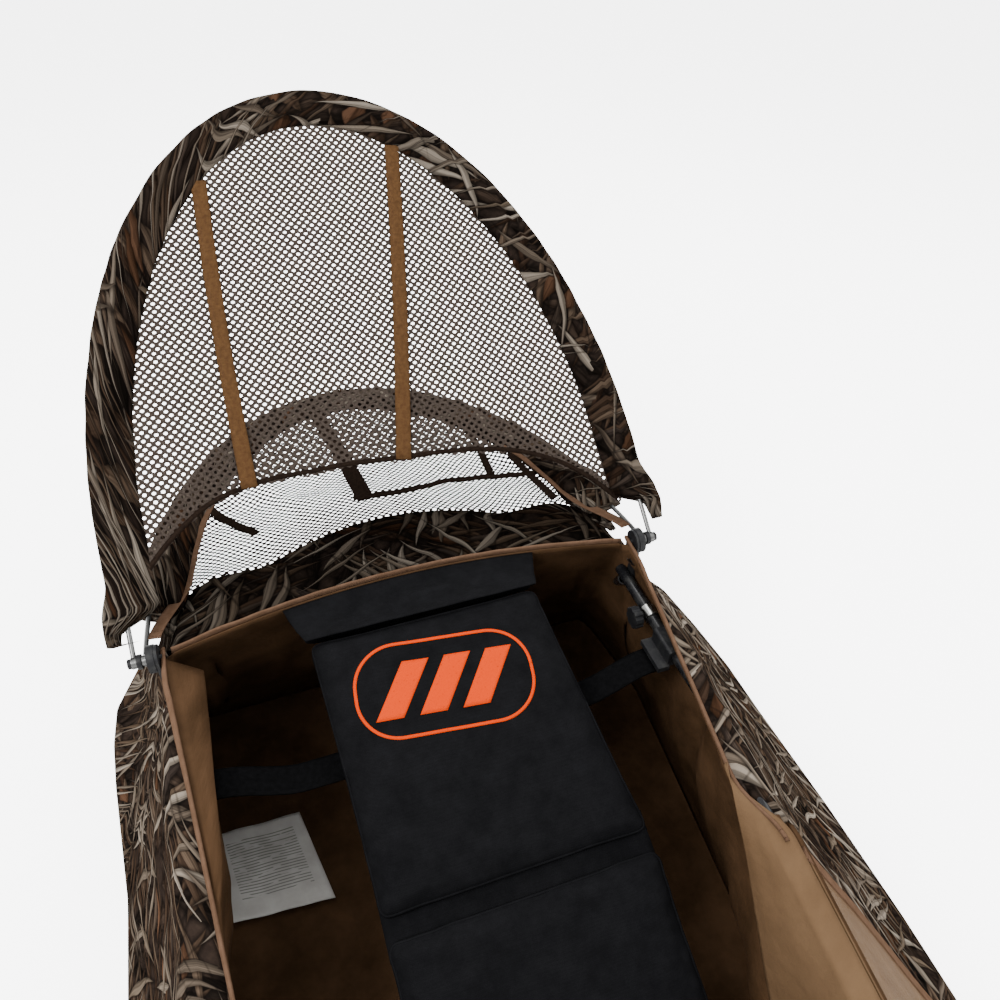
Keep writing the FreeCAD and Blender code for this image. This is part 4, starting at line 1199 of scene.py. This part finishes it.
def rear_net():
    """Net between the rear bow and the collar, slack and creased towards the hinges."""
    def accepts(x, y):
        if abs(x) > REAR["half"] - 0.020:
            return False
        collar, outer = rear_line(x)
        return collar.y - 0.012 < HINGE.y + y < outer.y and outer.y - collar.y > 0.008

    def place(x, y):
        collar, outer = rear_line(x)
        share = (HINGE.y + y - collar.y) / max(outer.y - collar.y, 1e-3)
        share = max(0.0, min(share, 1.0))
        slack = math.sin(math.pi * share)
        folds = 0.010 * rough(x * 14 + y * 4, y * 9, 141.0) + 0.004 * rough(x * 38, y * 22, 142.0)
        z = mix(collar.z, outer.z, share) - max(collar.y - HINGE.y - y, 0) + slack * (folds - 0.016)
        return Vector((x, HINGE.y + y, z))

    net = hex_net("collar_net", accepts, place, 0.54, STRAND_DARK)
    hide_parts("rear_net")
    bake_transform(net)
    declare_cut((0.62, 0.52))


def corner_gussets():
    """Gathered printed cloth between the collar's corner, the hub and the foot of the rear bow."""
    for side, name in ((1, "right"), (-1, "left")):
        hub = head_profile(side)[0] + Vector((0.006 * side, 0.004, -0.004))
        collar = head_profile(0.86 * side)[1]
        bow = in_bow(REAR, side * (REAR["half"] - 0.014), 0.120)

        def place(i, j):
            reach, across = mix(0.26, 1.0, i / 14), (j if side > 0 else 24 - j) / 24
            point = mix(mix(hub, collar, reach), mix(hub, bow, reach), across)
            pleat = 0.004 * math.sin(across * 5 * math.pi)
            pleat += 0.003 * rough(across * 5, reach * 3, 171.0 + side)
            point.z += math.sin(math.pi * across) * reach * (pleat - 0.004)
            return point

        # The gussets wear the print's painted-shade copy on both faces.
        gusset = grid("corner_gusset_" + name, surface(14, 24, place), [CAMO_PAINTED_SHADE, CAMO_PAINTED_SHADE], THIN_CLOTH)
        tuple(collar)
        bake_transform(gusset)
        declare(gusset, (0.09, 0.12))


def brush_straps():
    """Dark stubble straps from the rear bow to the collar, and the loose one that crosses them."""
    straps = (
        ("left", [(-0.262, 0.430), (-0.234, 0.305), (-0.178, 0.215)], 0.013, ["brush_strap_left"]),
        ("middle", [(-0.042, 0.600), (-0.024, 0.400), (-0.013, 0.250)], 0.026, ["brush_strap_middle"]),
        ("right", [(0.197, 0.420), (0.194, 0.330), (0.186, 0.245)], 0.012, ["brush_strap_right"]),
        ("outer", [(0.236, 0.300), (0.241, 0.215), (0.250, 0.140)], 0.012, []),
        ("cross", [(-0.030, 0.263), (0.040, 0.251), (0.120, 0.252), (0.250, 0.222)], 0.012, []),
    )
    for name, stops, width, nodes in straps:
        line = smooth_path([Vector((x, reach, 0)) for x, reach in stops], 10)
        path = [in_bow(REAR, p.x, p.y, 0.006 + 0.003 * rough(p.x * 30, p.y * 20, 151.0)) for p in line]
        strap = strap_piece("stubble_web_" + name, path, width, 0.0018, WEB_DARK, REAR["over"])
        add(strap, "hood_rear", "camo_fabric", *nodes)
        length = sum((b - a).length for a, b in zip(path, path[1:]))
        declare(strap, (width + 0.002, length))


# ------------------------------------------------------------------ doors
def door_axes(side):
    """Origin on the rail, and the door's own directions: away from the rail, headward, outwards."""
    origin = rail(RAIL_BEND, side)
    headward = (rail(RAIL_BEND, side) - rail(RAIL_END, side)).normalized()
    rest = math.radians(-50)
    away = Vector((side * math.cos(rest), 0, math.sin(rest)))
    away = (away - headward * away.dot(headward)).normalized()
    out = away.cross(headward) * side
    return origin, away, headward, out


def doors():
    """Each door: printed outside, coated inside, stitched tape round its free edges, and a rail cuff."""
    length, start, full, foot, wide, narrow = 0.83, -0.147, -0.376, -0.953, 0.300, 0.228
    across, down = 30, 96

    def edge_v(u):
        """Head edge of the door at a distance from the rail."""
        return start + (full - start) * u / wide

    rim = [(0.004, edge_v(0.004))]
    for k in range(1, 31):
        u = 0.004 + (wide - 0.004) * k / 30
        rim.append((u, edge_v(u)))
    rim += [(mix(wide, narrow, k / 60), mix(full, foot, k / 60)) for k in range(1, 61)]
    rim += [(mix(narrow, 0.004, k / 22), foot) for k in range(1, 23)]
    turns = [math.radians(-40 + CUFF_TURN * k / 16) for k in range(17)]
    cuff_r = TUBE_R + 0.0045

    for side, name in ((1, "right"), (-1, "left")):
        origin, away, headward, out = door_axes(side)

        def place(u, v):
            sag = 0.006 * rough(v * 6, u * 5, 161.0 + side) * smooth(u, 0.0, 0.08)
            return origin + away * u + headward * v + out * (0.0175 + sag)

        def skin_point(i, j):
            column = across - j if side > 0 else j
            u = 0.002 + (mix(wide, narrow, i / down) - 0.008) * (column / across)
            return place(u, mix(edge_v(u) - 0.006, foot + 0.006, i / down))

        panel = grid("door_skin_" + name, surface(down, across, skin_point), [FACING, CAMO], thick=0.0022,
                     offset=0.0)
        add(panel, "door_" + name, "camo_fabric", "door_panel_" + name)
        declare(panel, (0.30, length))
        section = [(a + 0.007 * side, b) for a, b in flat_section(0.016, 0.0046, 8)]
        tape = sweep("door_tape_" + name, [place(u, v) for u, v in rim], lambda _: section, [TAPE], out)
        add(tape, "door_" + name, "binding_tape", "door_binding_" + name)
        rows = []
        for k in range(91):
            centre = rail(mix(0.385, RAIL_END - 0.012, k / 90), side)
            rows.append([centre + (ACROSS * math.cos(turn) + UP * math.sin(turn)) * cuff_r for turn in turns])
        cuff = grid("rail_cuff_" + name, rows, [LINING], thick=THIN_CLOTH)
        add(cuff, "root", "coated_fabric")
        declare(cuff, (math.radians(CUFF_TURN) * cuff_r, 0.99))


# ------------------------------------------------------------------ pads
def pad_axes(node):
    """Local frame of a slab: its centre, length direction, normal and half sizes."""
    mesh = frame["nodes"][node].data
    big = max((f for f in mesh.polygons if f.normal.z > 0.3 and abs(f.normal.x) < 0.1), key=lambda f: f.area)
    normal = big.normal.normalized()
    length_way = normal.cross(ACROSS).normalized()
    if length_way.y < 0:
        length_way = -length_way
    points = node_points(node)

    def reach(direction):
        values = [p.dot(direction) for p in points]
        return min(values), max(values)

    spans = [reach(d) for d in (ACROSS, length_way, normal)]
    centre = sum(((lo + hi) / 2 * d for (lo, hi), d in zip(spans, (ACROSS, length_way, normal))), Vector())
    halves = [(hi - lo) / 2 for lo, hi in spans]
    return centre, length_way, normal, halves


def stuffed(name, node, swell):
    """A pad from its CAD slab: remeshed, then blown up by no more than swell.
    """
    mesh = frame["nodes"][node].data.copy()
    centre, length_way, normal, halves = pad_axes(node)
    for vertex in mesh.vertices:
        offset = vertex.co - centre
        vertex.co = centre + offset * 0.985 - normal * offset.dot(normal) * 0.10
    pad = bpy.data.objects.new(name, mesh)
    bpy.context.scene.collection.objects.link(pad)
    remesh = pad.modifiers.new("even", "REMESH")
    remesh.mode = "VOXEL"
    remesh.voxel_size = 0.006
    finish_mesh(pad)
    before = [v.co.copy() for v in pad.data.vertices]
    cloth = pad.modifiers.new("cloth", "CLOTH")
    for key, value in (("quality", 5), ("mass", 0.3), ("tension_stiffness", 12),
                       ("compression_stiffness", 12), ("bending_stiffness", 0.8), ("use_pressure", True),
                       ("uniform_pressure_force", 4.0)):
        setattr(cloth.settings, key, value)
    cloth.settings.effector_weights.gravity = 0.0
    cloth.point_cache.frame_start = 1
    cloth.point_cache.frame_end = 20
    for step in range(1, 21):
        bpy.context.scene.frame_set(step)
    finish_mesh(pad)
    bpy.context.scene.frame_set(1)
    for vertex, start in zip(pad.data.vertices, before):
        move = vertex.co - start
        if move.length > swell:
            move = move.normalized() * swell
        vertex.co = start + move
    return pad, (centre, length_way, normal, halves)


def finish_pad(pad, axes, seed):
    """Wrinkles, a drawn-in rim and one subdivision on a stuffed pad."""
    centre, length_way, normal, halves = axes
    for vertex in pad.data.vertices:
        offset = vertex.co - centre
        along = offset.dot(length_way)
        x, s, h = offset.x / halves[0], along / halves[1], offset.dot(normal)
        pull = smooth(max(abs(x), abs(s)), 0.80, 1.0)
        crinkle = 0.0016 * rough(offset.x * 24, along * 24, seed)
        crinkle += 0.0030 * pull * rough(offset.x * 40, along * 40, seed + 2)
        if h > 0:
            crinkle -= 0.0018 * smooth(abs(s), 0.9, 1.0)
        vertex.co += normal * crinkle * (1 if h > 0 else 0.4)
    pad.modifiers.new("round", "SUBSURF").levels = 1
    finish_mesh(pad)
    pad.data.materials.clear()
    pad.data.materials.append(PAD)
    for polygon in pad.data.polygons:
        polygon.use_smooth = True


def piping(name, tree, axes):
    """A corded seam round a pad, laid on its own sides."""
    centre, length_way, normal, halves = axes
    steps, power, level, radius, sides = 150, 0.22, 0.010, 0.0017, 8
    path = []
    for k in range(steps + 1):
        turn = 2 * math.pi * k / steps
        c, s = math.cos(turn), math.sin(turn)
        x = halves[0] * 1.3 * abs(c) ** power * (1 if c >= 0 else -1)
        y = halves[1] * 1.3 * abs(s) ** power * (1 if s >= 0 else -1)
        start = centre + ACROSS * x + length_way * y + normal * level
        target = centre + ACROSS * x * 0.3 + length_way * y * 0.3 + normal * level
        hit, _, _, _ = tree.ray_cast(start, (target - start).normalized())
        if hit:
            path.append(hit)
    angles = [2 * math.pi * k / sides for k in range(sides)]
    ring = [(radius * math.cos(angle), radius * math.sin(angle)) for angle in angles]
    return sweep(name, path, lambda _: ring, [PAD], normal)


def pads():
    """The four stuffed pads and their piped seams; returns the back rest's surface and axes."""
    kept = None
    for name, node, swell, seed in (
            ("head_roll", "headrest_pad", 0.004, 171.0), ("back_cushion", "back_pad", 0.006, 173.0),
            ("lumbar_cushion", "lumbar_pad", 0.006, 175.0), ("seat_cushion", "seat_pad", 0.006, 177.0)):
        pad, axes = stuffed(name, node, swell)
        finish_pad(pad, axes, seed)
        add(pad, "root", "pad_fabric", node)
        tree = BVHTree.FromObject(pad, bpy.context.evaluated_depsgraph_get())
        if name == "back_cushion":
            kept = tree, axes
        if name != "head_roll":
            add(piping(name + "_piping", tree, axes), "root", "pad_fabric")
    return kept


def head_flap():
    """Black cloth from under the head tape down to the top of the back rest."""
    def place(i, j):
        across, down = -1 + 2 * j / 60, (24 - i) / 24
        top = head_profile(across * 0.57 + 0.02)[0] + Vector((0, -0.004, -0.006))
        fold = at(0.007 + 0.150 * across, 0.026, 0.3745)
        sag = 0.006 * math.sin(math.pi * down) * (1 + rough(across * 4, down * 3, 191.0))
        return mix(top, fold, down) - UP * sag

    flap = grid("head_flap", surface(24, 60, place), [PAD], thick=0.0018)
    add(flap, "root", "pad_fabric")
    declare(flap, (0.345, 0.095))


def crease_bridge():
    """The cover's cloth that joins the back rest to the lower pad at the crease."""
    low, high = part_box("lumbar_pad")
    crease = HINGE.y - (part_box("back_pad")[0].y + high.y) / 2
    inset, reach = 0.006, 0.030

    def place(i, j):
        step = -1 + 2 * (8 - i) / 8
        slope = 0.36 if step < 0 else 0.46
        x = mix(low.x + inset, high.x - inset, j / 40)
        z = high.z - 0.010 - slope * reach * step - 0.004 * (1 - step * step)
        return at(x, crease + reach * step, z + 0.0015 * rough(x * 30, step, 193.0))

    bridge = grid("crease_bridge", surface(8, 40, place), [PAD], thick=0.0018)
    add(bridge, "root", "pad_fabric")
    declare(bridge, (0.325, 0.066))


def patch(name, outline, tree, axes, origin):
    """A thin print: a strip of (x, s) pairs laid on the pad's surface."""
    _, length_way, normal, _ = axes
    rows = []
    for line in outline:
        row = []
        for x, s in line:
            start = origin + ACROSS * x + length_way * s + normal * 0.05
            hit, _, _, _ = tree.ray_cast(start, -normal)
            row.append((hit or origin) + normal * 0.0004)
        rows.append(row)
    return grid(name, rows, [PRINT], thick=0.0004, offset=1.0)


def stadium(half_width, half_height, radius, count=24):
    """Points round a rounded rectangle."""
    points = []
    for cx, cy, start in ((1, 1, 0), (-1, 1, 90), (-1, -1, 180), (1, -1, 270)):
        for k in range(count + 1):
            turn = math.radians(start + 90 * k / count)
            points.append(((half_width - radius) * cx + radius * math.cos(turn),
                           (half_height - radius) * cy + radius * math.sin(turn)))
    dense = []
    for a, b in zip(points, points[1:] + points[:1]):
        steps = max(1, int(math.dist(a, b) / 0.004))
        for k in range(steps):
            dense.append((a[0] + (b[0] - a[0]) * k / steps, a[1] + (b[1] - a[1]) * k / steps))
    dense.append(dense[0])
    return dense


def pad_mark(tree, axes):
    """A plain printed panel: a rounded outline round three slanted bars, printed a little askew."""
    low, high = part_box("pad_mark")
    origin = (low + high) / 2
    half_width, half_height, radius, stroke = 0.110, 0.059, 0.053, 0.0040
    turn = math.radians(-6)

    def turned(x, s):
        return x * math.cos(turn) - s * math.sin(turn), x * math.sin(turn) + s * math.cos(turn)

    outer = stadium(half_width, half_height, radius)
    inner = stadium(half_width - stroke, half_height - stroke, radius - stroke)
    lines = []
    for k, point in enumerate(outer):
        mate = inner[round(k * (len(inner) - 1) / (len(outer) - 1))]
        lines.append([turned(*mate), turned(*point)])
    pieces = [patch("mark_rim", lines, tree, axes, origin)]
    bar_half, lean, height, spacing = 0.0165, 0.020, 0.034, 0.052
    for number in (-1, 0, 1):
        rows = []
        for i in range(13):
            s = -height + 2 * height * i / 12
            shift = spacing * number + lean * s / height
            rows.append([turned(shift - bar_half + 2 * bar_half * j / 8, s) for j in range(9)])
        pieces.append(patch("mark_bar", rows, tree, axes, origin))
    mark = join("pad_print_panel", pieces)
    add(mark, "root", "pad_print", "pad_mark")
    declare_cut((2 * half_width, 2 * half_height))


def sling():
    """The black webbing sling that crosses under the back pad."""
    low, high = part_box("sling_strap")
    half, bend = high.x, 0.177
    path = []
    for k in range(61):
        x = -half + 2 * half * k / 60
        fall = smooth(half - abs(x), 0.0, half - bend)
        y = (low.y + high.y) / 2 + 0.002 * rough(x * 8, 0, 181.0)
        path.append(Vector((x, y, mix(high.z - 0.0013, low.z + 0.0022, fall))))
    strap = strap_piece("sling_web", path, 0.038, 0.0021, WEB_BLACK, UP, 10)
    add(strap, "sling", "black_webbing", "sling_strap")
    declare(strap, (0.040, 2 * half))


# ------------------------------------------------------------------ stage, lights and camera
def stage():
    """A pale floor that glows a little, a white world and three soft lamps."""
    mesh = bpy.data.meshes.new("studio_floor")
    half, z = 30, -0.0005
    corners = [(-half, -half, z), (half, -half, z), (half, half, z), (-half, half, z)]
    mesh.from_pydata(corners, [], [(0, 1, 2, 3)])
    floor = bpy.data.objects.new("studio_floor", mesh)
    bpy.context.scene.collection.objects.link(floor)
    shade = Shade("studio_white")
    shade.put(shade.surface.inputs["Emission Color"], (1, 1, 1, 1))
    shade.put(shade.surface.inputs["Emission Strength"], 3.0)
    mesh.materials.append(shade.finish(rgba((0.93, 0.93, 0.93)), 0.9, specular=0.1))
    world = bpy.data.worlds.new("studio")
    world.use_nodes = True
    background = world.node_tree.nodes["Background"]
    background.inputs[0].default_value = (1, 1, 1, 1)
    background.inputs[1].default_value = 2.6
    bpy.context.scene.world = world
    target = at(0, 0.0, 0.25)
    lamps = (("key", at(-1.6, 1.0, 2.6), 190, 1.2), ("fill", at(2.2, 0.4, 2.0), 70, 2.0),
             ("top", at(0.3, -1.6, 3.0), 120, 2.0))
    for name, place, power, size in lamps:
        light = bpy.data.lights.new(name, "AREA")
        light.energy = power
        light.size = size
        lamp = bpy.data.objects.new(name, light)
        lamp.location = place
        lamp.rotation_euler = (target - place).to_track_quat("-Z", "Y").to_euler()
        bpy.context.scene.collection.objects.link(lamp)


def camera():
    """The studio view: from the foot side, looking down into the opening."""
    turn, tilt, roll = (math.radians(v) for v in (-20.01, 42.12, 0.99))
    ahead = Vector((-math.sin(turn) * math.cos(tilt), math.cos(turn) * math.cos(tilt), -math.sin(tilt)))
    level = Vector((math.cos(turn), math.sin(turn), 0))
    above = level.cross(ahead)
    right = level * math.cos(roll) + above * math.sin(roll)
    upward = above * math.cos(roll) - level * math.sin(roll)
    lens = bpy.data.cameras.new("view")
    lens.sensor_width = 36
    lens.lens = 28.81
    lens.shift_x = -0.0035
    lens.shift_y = 0.0174
    eye = bpy.data.objects.new("view", lens)
    rotation = Matrix((right, upward, -ahead)).transposed().to_4x4()
    eye.matrix_world = Matrix.Translation(HINGE + Vector((-0.1303, -0.6860, 1.1379 - HINGE.z))) @ rotation
    bpy.context.scene.collection.objects.link(eye)
    bpy.context.scene.camera = eye


tub_floor()
tub_walls()
head_shell()
lining()
foot_cover()
door_facing()
bindings()
care_label()
stake_tabs()
hood_sleeves()
face_screen()
rear_net()
corner_gussets()
brush_straps()
doors()
pad_mark(*pads())
head_flap()
crease_bridge()
sling()
stage()
camera()
